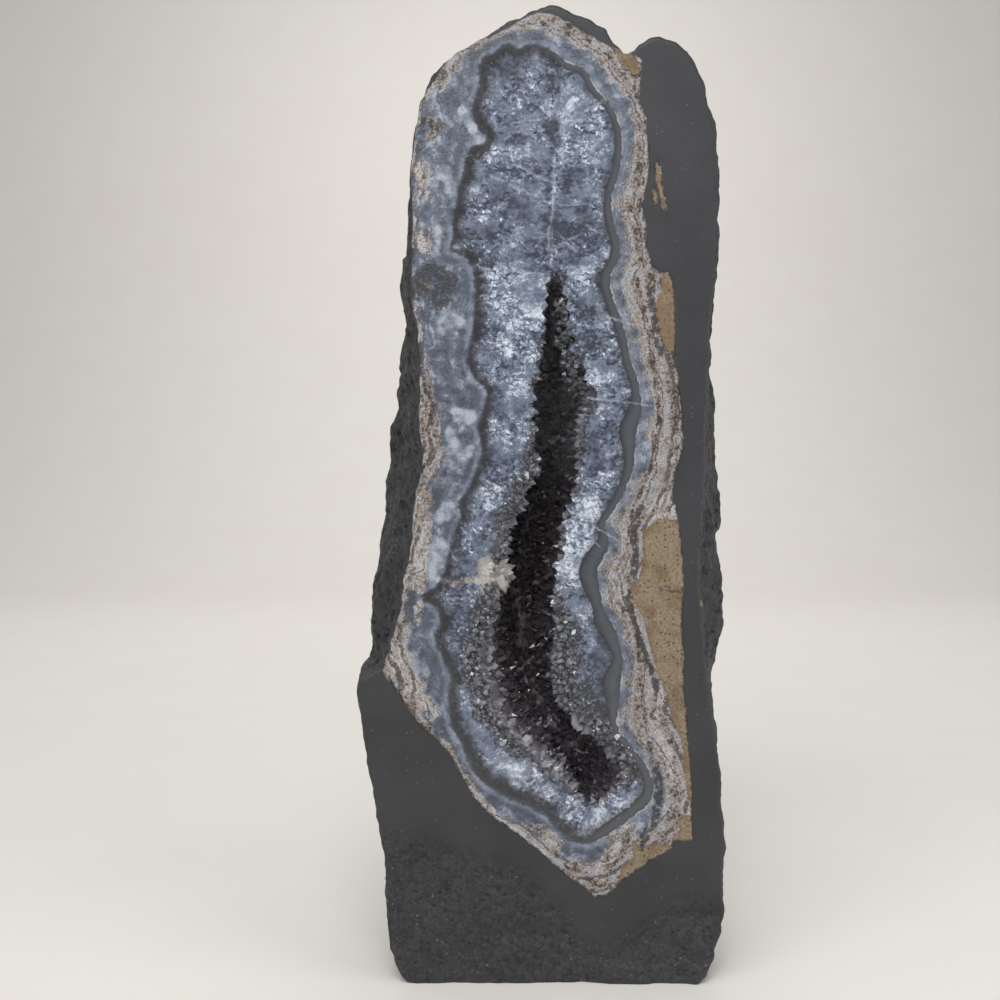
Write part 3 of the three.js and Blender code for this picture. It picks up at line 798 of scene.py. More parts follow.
def rough_paint_group():
    """The same paint on uneven basalt: crumbs, pits blackened by painted shade, and pale grains that are
    partly painted sparkle, the more the rougher it is, and faint scratches."""
    sockets = "Position:v Rough:f Paint:c Pit:c Grain:c"
    n, where, rough, colour, pit, pale = group_tree("Painted basalt", sockets, "Color:c Roughness:f Height:f",
                                                    flat=False)
    paint = n.group("Paint", Position=where, Paint=colour)
    grain = paint["Grain"]
    warp = (n.noise(where, 1.6, colour=True) - 0.5) * 1.8
    gap, chance = n.cells(where + warp, 1.8)
    pits_and_painted_shade = gap.rise(0.46, 0.15) * chance.rise(0.5, 0.75) * rough
    crumb_gap, crumb = n.cells(where + warp * 0.4, 1.3)
    crumbs = (crumb - crumb_gap) * rough
    # Pale specks: partly real pale grains, partly painted sparkle.
    speck_gap, speck_chance = n.cells(where, 1.5)
    pale_grain_and_sparkle = speck_gap.rise(0.2, 0.08) * speck_chance.rise(0.87, 0.9) * (0.2 + rough * 0.4)
    x, _, z = n.parts(where)
    scratch = n.noise(n.joined((x * 0.6 + z * 0.8) * 0.06, x * 0.8 - z * 0.6, 0.0), 0.8, detail=1)
    scratches = scratch.rise(0.6, 0.72) * paint["Clouds"].rise(0.45, 0.6)
    tone = 1.0 + (grain - 0.5) * rough * 2.2 + crumbs * 0.8 + scratches * 0.16
    # Painted shade: the pits are darkened towards the pit colour.
    painted = n.mix(pits_and_painted_shade * 0.85, n.toned(paint["Color"], tone), pit)
    height = grain * (0.1 + rough * 0.8) + crumbs * 0.7 - pits_and_painted_shade * 0.8
    n.give(Color=n.mix(pale_grain_and_sparkle, painted, pale), Roughness=paint["Roughness"] + pits_and_painted_shade * 0.3, Height=height)


def basalt_group():
    """Bare basalt, sawn or chipped: tan, with dark specks and small pores."""
    n, where, light, brown, dark = group_tree("Bare basalt", "Position:v Light:c Brown:c Dark:c", "Color:c")
    grain = n.noise(where, 0.9, detail=5, rough=0.65)
    clouds = n.noise(where, 8, detail=3)
    gap, chance = n.cells(where, 1.25)
    pore = gap.rise(0.34, 0.16) * chance.rise(0.75, 0.85)
    fine_gap, fine_chance = n.cells(where, 0.6)
    fine = fine_gap.rise(0.42, 0.26) * fine_chance.rise(0.6, 0.75)
    tone = n.mix(grain.rise(0.3, 0.7), n.mix(0.75, light, brown), light)
    tone = n.mix(clouds.rise(0.45, 0.7, 0, 0.75), tone, brown)
    spots = n.highest(pore, fine * clouds.rise(0.4, 0.6, 0.15, 0.6))
    n.give(Color=n.mix(spots * 0.9, tone, dark))


def quartz_group():
    """Quartz: crystals cut across, as plates and blades along the growth, small facets and mottling, with
    clouds, thin bright cracks, needles and glints, in one lightness that runs through dark, middle and pale.
    Smooth parts and some of the plates have little of the fine detail, and druse is darker. The height tilts
    each facet its own way."""
    n, where, grown, light, druse, smooth, smoky, dark, middle, pale = group_tree(
        "Quartz", "Position:v Growth:v Light:f Druse:f Smooth:f Smoky:c Dark:c Middle:c Pale:c",
        "Color:c Height:f Roughness:f")
    warp = n.noise(where, 3.2, detail=3, rough=0.6, colour=True) - 0.5
    growth = grown + warp * (7.0, 7.0, 0.0)
    straight = grown + warp * (2.5, 2.5, 0.0)
    bent = where + warp * 2.0
    _, plate = n.cells(growth * (1.0, 0.5, 1.0), 5.0)
    facet_gap, facet = n.cells(bent, 0.9)
    blades = n.noise(straight * (1.0, 0.26, 1.0), 1.1, detail=3, rough=0.6) - 0.5
    mottle = n.noise(bent, 0.6, detail=3, rough=0.7)
    cloud = n.noise(where, 8, detail=3, rough=0.6)
    crack = n.noise(growth * (1.0, 0.5, 1.0), 2.6, detail=3, rough=0.55) - 0.5
    needle = n.noise(straight * (1.0, 0.14, 1.0), 1.2, detail=2)
    bright = (cloud + light * 0.09).rise(0.42, 0.62)
    calm = n.highest(smooth, n.math("FRACT", plate * 9.0).rise(0.55, 0.75, 0.0, 0.75))
    lively = 1.0 - n.lowest(calm, 1.0)
    cracked = abs(crack).rise(0.016, 0.0) * (bright * 0.3 + 0.06)
    needles = needle.rise(0.58, 0.7) * (light + (cloud - 0.5) * 2.0).rise(0.35, 1.0)
    glint = facet.rise(0.93, 0.95) * facet_gap.rise(0.42, 0.25)
    wisps = abs(blades).rise(0.05, 0.0) * mottle.rise(0.35, 0.6)
    detail = ((mottle - 0.5) * 0.75 + blades * 0.6 + wisps * (bright * 0.14 + 0.1) + (facet - 0.5) * 0.4
              + needles * 0.24 + glint * (bright * 0.3 + 0.12))
    value = (0.37 + light * 0.15 + (plate - 0.5) * 0.3 + (cloud - 0.5) * 0.85 + blades * 0.15
             + detail * (lively * 0.85 + 0.15) + cracked)
    dim = mottle - 0.5 + facet * 0.3 + glint * 0.25
    value = value * (1.0 - druse) + dim * druse
    shade = n.mix(value.rise(0.1, 0.5), n.mix(druse, dark, smoky), middle)
    n.give(Color=n.mix(value.rise(0.48, 0.98), shade, pale), Height=n.tilted(bent, 1.8),
           Roughness=facet.rise(0, 1, 0.16, 0.4))


def agate_group():
    """Agate outside the dark band: soft layers that follow it at any depth, bent by round lobes, with finer
    layers in them, and clouds and a haze over them."""
    sockets = "Position:v Depth:f Dark:c Middle:c Pale:c"
    n, where, depth, dark, middle, pale = group_tree("Agate", sockets, "Color:c")
    warp = n.noise(where, 4, detail=2, colour=True) - 0.5
    lobe_gap, _ = n.cells(where + warp * 3.0, 6.5)
    clouds = n.noise(where, 7, detail=4, rough=0.55)
    haze = n.noise(where, 2.4, detail=4, rough=0.62)
    level = depth + lobe_gap * 4.5 + clouds * 6.0
    value = (0.47 + (n.layers(level, 2.2) - 0.5) * 0.6 + (n.layers(level, 0.7) - 0.5) * 0.2
             + (haze - 0.5) * 0.75 + (clouds - 0.5) * 1.15)
    shade = n.mix(value.rise(0.24, 0.52), dark, middle)
    n.give(Color=n.mix(value.rise(0.5, 0.86), shade, pale))


def crust_group():
    """The agate's chalky outer crust: crumbs in streaks that follow the agate's layers, from white over beige
    to brown and almost black, the darker the more it is stained, with bluish clouds."""
    n, where, depth, stain, whiteness, bluish, white, beige, brown, dark = group_tree(
        "Crust", "Position:v Depth:f Stain:f Whiteness:f Blue:c White:c Beige:c Brown:c Dark:c", "Color:c")
    crumbs = n.noise(where, 0.9, detail=5, rough=0.75)
    patches = n.noise(where, 4.0, detail=4)
    level = depth + patches * 3.0
    streaks = n.layers(level, 1.1, detail=2.0) - 0.5
    value = crumbs + streaks * 0.4 + (patches - 0.5) * 0.7 + stain * -0.13 + whiteness * 0.1
    blue = (patches + streaks * 0.7).rise(0.46, 0.6) * (1.0 - n.highest(stain, whiteness))
    shade = n.mix(value.rise(0.44, 0.66), beige, white)
    shade = n.mix(blue * 0.5, shade, bluish)
    fold = abs(n.layers(level, 4.0) - 0.5 + (crumbs - 0.5) * 0.15)
    folds = fold.rise(0.035, 0.01) * patches.rise(0.42, 0.52)
    shade = n.mix(n.highest(value.rise(0.41, 0.32, 0.0, 0.9), folds * 0.8), shade, brown)
    shade = n.mix(n.highest(value.rise(0.32, 0.24), folds * 0.5), shade, dark)
    grit = n.noise(where, 0.4, detail=2, rough=0.6).rise(0.3, 0.7, 0.68, 1.2)
    n.give(Color=n.toned(shade, grit))


GROUPS = {"Paint": paint_group, "Painted basalt": rough_paint_group, "Bare basalt": basalt_group,
          "Quartz": quartz_group, "Agate": agate_group, "Crust": crust_group}


def shared_group(name):
    """One of the groups above by its name, built once."""
    if name not in bpy.data.node_groups:
        GROUPS[name]()
    return bpy.data.node_groups[name]


def new_material(name, flat=False):
    """A material with one Principled BSDF, and the short calls that feed it."""
    material = bpy.data.materials.new(name)
    material.use_nodes = True
    tree = material.node_tree
    return material, Nodes(tree, tree.nodes["Principled BSDF"].inputs, flat)


# Materials

def sawn_face_material(look):
    """The sawn front: quartz inside the dark band, agate and crust outside it, bare basalt and paint. The
    masks are signed distances to the zones' outlines, made ragged by noise."""
    material, n = new_material("Sawn face", flat=True)
    where = n.laid_flat()
    band, matrix, bare = n.parts(n.attribute("zones"))
    half, blue, smooth = n.parts(n.attribute("widths"))
    white, rust, dark = n.parts(n.attribute("marks"))
    light, _, to_right = n.parts(n.attribute("fields"))
    seam_off, seam_gap, beige = n.parts(n.attribute("seams"))
    growth = n.attribute("growth")
    _, _, mouth = n.parts(growth)
    wobble = n.noise(where, 1.7, detail=4) - 0.5
    fine = n.noise(where, 0.5, detail=3, rough=0.6) - 0.5
    broad = n.noise(where, 5, detail=4) - 0.5
    depth = band + wobble * 0.9 + fine * 0.4
    to_left = 1.0 - to_right

    druse = (mouth + light * 2.0 + broad * 7.0 + wobble * 3.0).rise(1.5, -0.5)
    tinged = (beige + wobble * 1.2 + fine * 0.6).rise(0.3, 0.75)
    quartz = n.group("Quartz", Position=where, Growth=growth, Light=light, Druse=druse,
                     Smooth=smooth + wobble * smooth * 1.5, Smoky=look.quartz_smoky,
                     Dark=n.mix(tinged, look.quartz_dark, look.beige_dark),
                     Middle=n.mix(tinged, look.quartz_middle, look.beige_quartz),
                     Pale=n.mix(tinged, look.quartz_pale, look.cluster_pale))
    below_band = depth * -1.0 - half
    near_band = (below_band + broad * 4.0 + fine * 2.5).rise(2.6, -0.4)
    smoky = n.mix(near_band * 0.55, quartz["Color"], look.band_edge)

    outward = depth - half
    agate = n.group("Agate", Position=where, Depth=outward,
                    Dark=look.agate_dark, Middle=look.agate_middle, Pale=look.agate_pale)
    near = outward + wobble * 1.2
    line = near.rise(-0.1, 0.8) * near.rise(2.2, 0.9) * (broad + wobble).rise(-0.3, 0.3, 0.15, 0.7)
    under = near.rise(1.2, 2.2) * near.rise(4.5, 2.6) * to_left * 0.5
    layered = n.mix(under, n.mix(line, agate["Color"], look.agate_cloud), look.agate_dark)

    rim = n.lowest(bare, matrix)
    seam = abs(rim + broad * 5.0 - 2.6).rise(1.3, 0.2)
    rusty = (rust + wobble * 1.6 + fine * 0.8).rise(0.25, 0.8)
    whitened = (white + broad * 2.2 + wobble * 1.6 + fine).rise(0.35, 0.95)
    crust = n.group("Crust", Position=where, Depth=outward, Stain=n.highest(seam * 0.9, rusty * 1.2),
                    Whiteness=whitened, Blue=look.agate_cloud, White=look.crust_white, Beige=look.crust_beige,
                    Brown=look.crust_brown, Dark=look.vein)
    past_blue = (outward - blue + broad * 8.0 + fine * 2.0).rise(-0.7, 1.4)
    at_rim = (rim + broad * 5.0 + fine * 1.5).rise(2.0, 0.6)
    outside = outward.rise(-0.35, 0.35)
    edging = rim.rise(9.5, 6.0)
    crusted = n.highest(n.highest(past_blue, at_rim), n.highest(rusty * 0.9, whitened * edging)) * outside
    # Dark marks: real dark veins, and painted shade in gaps and holes.
    darkened = (dark + wobble * 2.2 + fine * 1.4).rise(0.5, 0.8)

    across = depth / half
    middle = n.mix(to_right, look.band_edge, look.band_middle)
    band_colour = n.mix((across + fine * 0.6).rise(-0.5, -1.1), middle, look.band_edge)
    band_colour = n.mix(across.rise(0.1, 1.2), band_colour, look.agate_dark)
    from_middle = abs(across - 0.2) + (wobble + broad) * 0.9
    band_colour = n.toned(band_colour, from_middle.rise(0.0, 0.9, 1.14, 0.84))
    hazy = (broad + wobble) * to_left * 5.0
    inside = (below_band + hazy).rise(0.3 + to_left * 3.2, -0.35 - to_left)
    banded = inside * outward.rise(0.5, -0.7) * (1.0 - to_left * 0.15)
    rimmed = abs(outward + wobble * 0.6).rise(0.34, 0.1) * to_right * broad.rise(-0.08, 0.12, 0.1, 0.75)

    colour = n.mix(outside, smoky, layered)
    colour = n.mix(banded, colour, band_colour)
    colour = n.mix(crusted, colour, crust["Color"])
    clouded = white + broad * 2.6 + wobble * 0.8
    clouded = (1.0 - edging) * clouded * outward.rise(-0.3, 0.6, 0.3, 1.0)
    colour = n.mix(clouded.rise(0.15, 0.75, 0.0, 0.8), colour, look.agate_cloud)
    chalky = n.toned(look.seam, n.noise(where, 0.5, detail=2, rough=0.6).rise(0.32, 0.55, 0.7, 1.03))
    colour = n.mix(clouded.rise(0.6, 1.15, 0.0, 0.85), colour, chalky)
    colour = n.mix(rimmed, colour, look.crust_white)
    colour = n.mix(darkened * 0.85, colour, look.vein)
    seamed = abs(seam_off + wobble * 1.6 + fine * 0.5).rise(0.5, 0.0) * seam_gap.rise(2.4, 1.0)
    colour = n.mix(seamed * (fine + wobble).rise(-0.2, 0.35, 0.1, 0.8), colour, look.seam)

    basalt = n.group("Bare basalt", Position=where,
                     Light=look.basalt_light, Brown=look.basalt_brown, Dark=look.basalt_dark)
    ragged = wobble * 1.2 + fine * 0.8
    is_basalt = (matrix + ragged).rise(0.12, -0.12)
    brim = (abs(matrix) + broad * 2.0).rise(0.9, 0.1) * is_basalt
    stone = n.mix(n.highest(brim, rust) * 0.6, basalt["Color"], look.basalt_brown)
    stone = n.mix(darkened * 0.8, stone, look.basalt_dark)
    colour = n.mix(is_basalt, colour, stone)

    paint = n.group("Paint", Position=n.position(), Paint=look.paint)
    is_paint = (bare + ragged).rise(0.2, -0.2)
    edge_line = abs(bare + ragged).rise(0.5, 0.1) * broad.rise(-0.15, 0.1)
    colour = n.mix(is_paint, colour, paint["Color"])
    colour = n.mix(edge_line * 0.75, colour, look.pit)

    polish = n.mix(banded, quartz["Roughness"], 0.16)
    polish = n.mix(crusted, polish, 0.5)
    polish = n.mix(is_basalt, polish, 0.75)
    polish = n.mix(is_paint, polish, paint["Roughness"])
    inner = (band + half).rise(0.3, -0.3)
    crumbly = (band - half).rise(0.5, 2.0) * bare.rise(0.0, 0.5)
    relief = n.noise(where, 0.9, detail=4, rough=0.65) * (0.05 + crumbly * 0.45)
    n.surface(colour, polish, relief + n.tilted(where, 1.8) * inner * 0.22, 0.8, 0.6)
    return material


def painted_front_material(look):
    """The front where it is all paint, more than the ragged edge's width from anything bare."""
    material, n = new_material("Painted front")
    _, rough, _ = n.parts(n.attribute("fields"))
    paint = n.group("Painted basalt", Position=n.position(), Rough=rough,
                    Paint=look.paint, Pit=look.pit, Grain=look.grain)
    n.surface(paint["Color"], paint["Roughness"], paint["Height"], 0.8, 0.6)
    return material


def rough_skin_material(look):
    """Paint over rough basalt, with pits darkened by painted shade, pale grains that are partly painted
    sparkle, and a few chips that show the brown basalt.
    """
    material, n = new_material("Painted rough basalt")
    where = n.position()
    paint = n.group("Painted basalt", Position=where, Rough=1.0,
                    Paint=look.rough_paint, Pit=look.pit, Grain=look.grain)
    basalt = n.group("Bare basalt", Position=n.laid_flat(),
                     Light=look.basalt_light, Brown=look.basalt_brown, Dark=look.basalt_dark)
    spots = n.noise(where, 7, detail=4, rough=0.6)
    chipped = spots.rise(0.735, 0.76) * n.noise(where, 45, detail=1).rise(0.45, 0.6)
    # Painted shade: the mesh's pits are darkened by how deep they are.
    colour = n.mix(n.attribute("hollow", "Fac") * 0.8, paint["Color"], look.pit)
    colour = n.mix(chipped * 0.75, colour, basalt["Color"])
    n.surface(colour, paint["Roughness"], paint["Height"], 0.9, 0.7)
    return material


def hollow_wall_material(look):
    """The quartz that the crystals of the hollow stand on: pale at its mouth and smoky deeper in, with
    painted shade that darkens it deep in the lower part of the hollow.
    """
    material, n = new_material("Wall of the hollow", flat=True)
    where = n.laid_flat()
    depth, light, dusk = n.parts(n.attribute("fields"))
    quartz = n.group("Quartz", Position=where, Growth=n.attribute("growth"), Light=light, Druse=0.7,
                     Smooth=0.2, Smoky=look.quartz_smoky, Dark=look.quartz_dark,
                     Middle=look.quartz_middle, Pale=look.quartz_pale)
    deep = (depth + (n.noise(where, 3, detail=3) - 0.5) * 3.0).rise(0.5, 4.5)
    # Painted shade: deep in the lower hollow the wall's colour turns to a dark shade colour.
    wall = n.mix(dusk, look.smoky_wall, look.dusk)
    colour = n.mix(deep, quartz["Color"], wall)
    n.surface(colour, quartz["Roughness"], quartz["Height"], 0.8, 0.5, shine=0.5)
    return material


def crystal_material(name, look, shades, clearness, roughness, milky=0.5):
    """See-through quartz: plain transmission with quartz's IOR, and a little of the light absorbed inside.
    Each crystal takes its own shade, from the first to the last, and some are cloudy."""
    material, n = new_material(name)
    haze = n.noise(n.position(), 1.3, detail=3)
    own_shade = n.ramp(n.attribute("chance", "Fac"), SHADE_PLACES, shades)
    shade = n.mix(haze.rise(0.5, 0.75, 0, milky), own_shade, look.crystal_milk)
    # Painted shade: deep in the lower hollow each crystal's colour turns to a dark shade colour.
    n.give(Base_Color=n.mix(n.attribute("dusk", "Fac"), shade, look.dusk),
           Roughness=haze.rise(0.3, 0.7, roughness, roughness + 0.12),
           IOR=QUARTZ_IOR, Transmission_Weight=clearness)
    inside = n.new("VolumeAbsorption", {"Color": look.absorbed, "Density": look.absorption})
    output = material.node_tree.nodes["Material Output"]
    material.node_tree.links.new(inside.outputs[0], output.inputs["Volume"])
    return material


# The pieces' surfaces

AROUND = 800
FACE_ROWS = SKIN_ROWS = 110
WALL_ROWS = 50
WALL_INSET = 0.3
TOOTH_PITCH, TOOTH_HIGH, TOOTH_SLOPE, TOOTH_OVER = 4.2, 3.9, 1.5, 0.5
DRUSE_ACROSS, DRUSE_DOWN = 170, 26
RIM_ACROSS, RIM_DOWN, RIM_DEEP, RIM_STEP = 190, 4, 0.8, 1.6
BELT_DEEP, BELT_PITCH, BELT_REACH = 1.5, 1.0, 9
BOTTOM_OVER = 3.5  # how far the cut quartz stands over the lowest end of the hollow
CLUSTER_X, CLUSTER_Z, CLUSTER_COUNT = -15.5, 123.5, 60
LEDGE_TOP, LEDGE_LOW, LEDGE_WIDE_TOP, LEDGE_WIDE_LOW, LEDGE_COUNT = (6.0, 207), (12.5, 180), 3.0, 5.0, 220
CLEAR_OF_CUT, POINTS_CLEAR = 0.05, 0.02
ROOM_RATE, ROOM_LEAST = 2.5, 0.12
BAND_POINTS, EVEN_POINTS = 500, 2000
WORN_WIDE, WORN_DEEP = 1.1, 0.6
CRUMBS_LONG, CRUMBS_DEEP = 1.6, 0.25
BASALT_SUNK, BARE_SUNK = 0.12, 0.06  # how far bare basalt and the bare front lie behind the paint
SKIN_PIT_DEEP, SMALL_PIT_DEEP = 1.3, 0.6
# Depths behind the cut and heights over which painted shade darkens the crystals and the wall of the hollow
PAINTED_SHADE_DEPTHS, PAINTED_SHADE_HEIGHTS = (3.5, 11), (172, 146)
SIDES = 6
CRYSTAL_POINTS = 2 * SIDES + 1
EDGE_WAVES = ((0.5, 7), (0.4, 2.6), (0.2, 1.2))
FOOT_WAVES = ((0.45, 5), (0.3, 2.4))
SKIN_WAVES = ((0.55, 5), (0.5, 2.7), (0.25, 1.4))
WALL_WAVES = ((0.5, 2.2), (0.25, 1.1))
# Pits: the cells that they are strewn over, the seed, the least reach, how much more it can be, how many miss
FOOT_PITS = (3.4, 40, 0.5, 1.1, 0.35)
SKIN_PITS = (5.2, 7, 0.7, 1.5, 0.3)
SMALL_PITS = (2.6, 19, 0.5, 0.5, 0.45)
ROUGH_LINES = [
    ([(53, 262), (53.5, 236), (52.5, 210), (51.5, 186), (51, 160), (50, 130), (50.5, 98)], 1.7, 0.9),
    ([(46.8, 137), (47.4, 128), (46.8, 116)], 0.5, 0.9),
]


def room_at(u):
    """The crystals' share of their full size: small at the narrow top of the hollow."""
    return np.clip((1 - climb(u % 1)) * ROOM_RATE, ROOM_LEAST, 1)


def octaves(points, waves):
    """The sum of noises, each written as its height and its length."""
    return sum(high * smooth_noise(points, long) for high, long in waves)


def pits_at(points, cell, seed, reach, more, misses):
    """Round pits, one to a cell or none: 1 in the middle of a pit, and falling by the square of the distance
    to 0 at its reach."""
    gap, chance = strewn_distance(points, cell, seed)
    return np.clip(1 - (gap / (reach + more * chance)) ** 2, 0, 1) * (chance > misses)


def broken_edge(u):
    """How far the edge of the cut stands in from its smooth line: three octaves of noise along it, which
    fade towards the base."""
    edge = edge_at(u)
    edge[:, 1] = 0
    return (octaves(edge, EDGE_WAVES) + 0.15) * np.minimum(1, edge[:, 2] / FADE_BASE)


def saw_teeth(u):
    """How far the crystals' cut tips stand out over the mouth of the hollow: at each place the highest of the
    triangles of uneven height that stand along the mouth, a pitch apart."""
    along = passed_along(mouth_at(u)[:, [0, 2]]) / TOOTH_PITCH
    best = np.zeros(len(u))
    for step in (-1, 0, 1, 2):
        cell = np.floor(along) + step
        seed = cell + 0.6 * (lattice_value(cell, 3.0, 1.0) - 0.5)
        tall = 0.35 + 0.65 * lattice_value(cell, 5.0, 2.0)
        best = np.maximum(best, tall - np.abs(along - seed) * TOOTH_SLOPE)
    return best * TOOTH_HIGH * (0.35 + 0.65 * room_at(u))


def front_points(u, share):
    """The front between the edge of the cut, at share 0, and the mouth of the hollow, at share 1, on straight
    spokes. The edge is broken and slightly worn back, the mouth is toothed, and the foot lies rough behind
    the cut."""
    edge, mouth = edge_at(u)[:, [0, 2]], mouth_at(u)[:, [0, 2]]
    broken = turned_aside(edge) * broken_edge(u)[:, None]
    over = BOTTOM_OVER * smooth_step(mouth[:, 1], 64, 54)
    toothed = turned_aside(mouth) * (saw_teeth(u) - TOOTH_OVER * (1 + room_at(u)) + over)[:, None]
    part = share[:, None, None]
    flat = blend(edge, mouth, part) + broken * (1 - part) ** 10 + toothed * part**16
    x, z = flat[..., 0], np.maximum(0, flat[..., 1])
    points = np.stack([x, np.full_like(x, FACE_Y), z], -1)
    foot = foot_share(x, z)
    uneven = 1 + FOOT_UNEVEN * smooth_noise(points, KNOB_LONG)
    points[..., 1] += foot * (FOOT_DEEP * uneven + octaves(points, FOOT_WAVES))
    return points, foot


def front_line(u, share):
    """The line (x, z) across the front at one share of the way from the edge of the cut to the hollow."""
    return front_points(u, np.array([share]))[0][0][:, [0, 2]]


def column_at(table, k, place):
    """Column k of a table whose first column is the height, at the heights of the places (x, z)."""
    return np.interp(place[:, 1], table[:, 0], table[:, k])


def heart_x(place):
    """The x of the line that the crystals grew towards, at the heights of the places (x, z)."""
    return np.interp(place[:, 1], HEART[::-1, 1], HEART[::-1, 0])


def right_share(place):
    """0 to the left of the line that the crystals grew towards, and 1 to the right of it."""
    return smooth_step(place[:, 0] - heart_x(place), -3, 3)


def belt_width(place):
    """How wide the belt of druse beside the mouth of the hollow is, by side and height."""
    return blend(column_at(DRUSE, 1, place), column_at(DRUSE, 2, place), right_share(place))


def belt_share(mouth, druse):
    """How far the druse beside the mouth of the hollow slopes down into it: 0 at its outer edge, and 1 when
    well inside it. mouth is the distance from the hollow, and druse the width of the belt there."""
    return smooth_step(druse - mouth, -0.5, 4.0)


def sawn_face_mesh():
    """The dense front with what its material needs at each point, and its points row by row."""
    u = np.arange(AROUND) / AROUND
    points, foot = front_points(u, np.linspace(0, 1, FACE_ROWS))
    points, foot = points.reshape(-1, 3), foot.ravel()
    place = points[:, [0, 2]]

    band = -outline_distance(place, curve_through(BAND, np.arange(BAND_POINTS) / BAND_POINTS, closed=True))
    bare = outline_distance(place, BARE)
    matrix = np.min([-outline_distance(place, outline) for outline in BASALT], axis=0)
    for line, reach in CHIPS:
        gap = line_distance(place, np.array(line, float)) - reach
        bare, matrix = np.maximum(bare, -gap), np.minimum(matrix, gap)
    to_right = right_share(place)
    half, blue = (blend(column_at(BAND_LEFT, k, place), column_at(BAND_RIGHT, k, place), to_right)
                  for k in (1, 2))
    edge, mouth = (line_distance(place, front_line(u, share), closed=True) for share in (0.0, 1.0))
    along, across = growth_at(place)
    druse = belt_width(place)
    rough = np.clip(0.6 * foot + marks_at(place, ROUGH_LINES), 0, 1)
    aside, seam_gap = seams_at(place, SEAMS)
    white, rust, dark, light, smooth, beige = (marks_at(place, marks) for marks in (
        WHITE_MARKS, RUST_MARKS, DARK_MARKS, LIGHT_MARKS, SMOOTH_MARKS, BEIGE_MARKS))

    worn = np.clip(1 - edge / WORN_WIDE, 0, 1) ** 2
    crumbly = smooth_step(np.minimum(bare, matrix), 3.0, 0.5) * (bare > 0) * (matrix > 0)
    pit = pits_at(points, *FOOT_PITS) * rough
    points[:, 1] += WORN_DEEP * worn + pit + CRUMBS_DEEP * crumbly * smooth_noise(points, CRUMBS_LONG) ** 2
    points[:, 1] += BELT_DEEP * belt_share(mouth, druse)
    points[:, 1] += BASALT_SUNK * smooth_step(matrix, 0.2, -0.2) + BARE_SUNK * smooth_step(bare, -0.1, 0.1)

    faces = grid_faces(FACE_ROWS, AROUND, True)
    mesh = mesh_from("sawn_face", points, faces, zones=(band, matrix, bare), widths=(half, blue, smooth),
                     growth=(along, across, mouth - druse), marks=(white, rust, dark),
                     fields=(light, rough, to_right), seams=(aside, seam_gap, beige))
    painted = (bare[faces] < ALL_PAINT).all(1)
    mesh.polygons.foreach_set("material_index", painted.astype(np.int32))
    return mesh, points.reshape(FACE_ROWS, AROUND, 3)


def even_rows(count):
    """Values of t at even steps along the quarter ellipse from the cut to the ridge of the back."""
    t = np.linspace(0, 1, EVEN_POINTS)
    inward, back = quarter(t)
    passed = passed_along(np.stack([inward * USUAL_HALF_WIDTH, back * USUAL_DEPTH], -1))
    return np.interp(np.linspace(0, passed[-1], count), passed, t)


def rough_skin_mesh(rim):
    """The rough outside: the solid's own lumps and knobs, with finer knobs and round pits on them. It starts
    on the rim, the outer row of the front."""
    u, t = np.arange(AROUND) / AROUND, even_rows(SKIN_ROWS)
    points, out, flat = skin_at(u, t)
    fade = np.minimum(1, t / 0.02)[:, None] * np.minimum(1, points[..., 2] / 4) * ~flat
    pit, small_pit = pits_at(points, *SKIN_PITS), pits_at(points, *SMALL_PITS)
    high = (octaves(points, SKIN_WAVES) - SKIN_PIT_DEEP * pit - SMALL_PIT_DEEP * small_pit) * fade
    points = points + out * high[..., None]
    join = np.clip(1 - t / 0.03, 0, 1)[:, None, None]
    points = points + (rim - points[0]) * join
    points[..., 1] = np.maximum(points[..., 1], blend(FACE_Y, rim[:, 1], join[..., 0]))
    points[..., 2] = np.where(flat | (points[..., 2] < 0), 0, points[..., 2])
    # The hollow attribute is how deep the pits are, which the material darkens as painted shade.
    return mesh_from("rough_skin", points.reshape(-1, 3), grid_faces(SKIN_ROWS, AROUND, False),
                     hollow=(np.maximum(pit, 0.7 * small_pit) * fade).ravel())


def painted_shade_at(points):
    """How far painted shade darkens the crystals and the wall: 0 near the saw cut, and 1 deep in the lower
    part of the hollow.
    """
    return smooth_step(points[..., 1] - FACE_Y, *PAINTED_SHADE_DEPTHS) * smooth_step(points[..., 2], *PAINTED_SHADE_HEIGHTS)


def hollow_wall_mesh(rim):
    """The wall of the hollow with the crystals' grain on it, from the front's toothed inner row."""
    u, t = np.arange(AROUND) / AROUND, np.linspace(0, 1, WALL_ROWS) ** 1.2
    points = np.stack([hollow_at(u, row, WALL_INSET) for row in t])
    points[1:-1, :, 1] += octaves(points, WALL_WAVES)[1:-1] * room_at(u)
    points = points + (rim - points[0]) * np.clip(1 - t / 0.1, 0, 1)[:, None, None]
    points[1:, :, 1] = np.maximum(points[1:, :, 1], rim[:, 1])
    points = points.reshape(-1, 3)
    place, depth = points[:, [0, 2]], points[:, 1] - FACE_Y
    return mesh_from("hollow_wall", points, grid_faces(WALL_ROWS, AROUND, True),
                     fields=(depth, marks_at(place, LIGHT_MARKS), painted_shade_at(points)),
                     growth=(*growth_at(place), depth))


def across_to(direction, chance):
    """Two directions square to each direction, turned about it by a chance from 0 to 1."""
    side = unit(np.cross(direction, np.where(np.abs(direction[:, [2]]) < 0.9, [0, 0, 1], [1, 0, 0])))
    other = np.cross(direction, side)
    turn = 2 * np.pi * chance[:, None]
    return side * np.cos(turn) + other * np.sin(turn), other * np.cos(turn) - side * np.sin(turn)


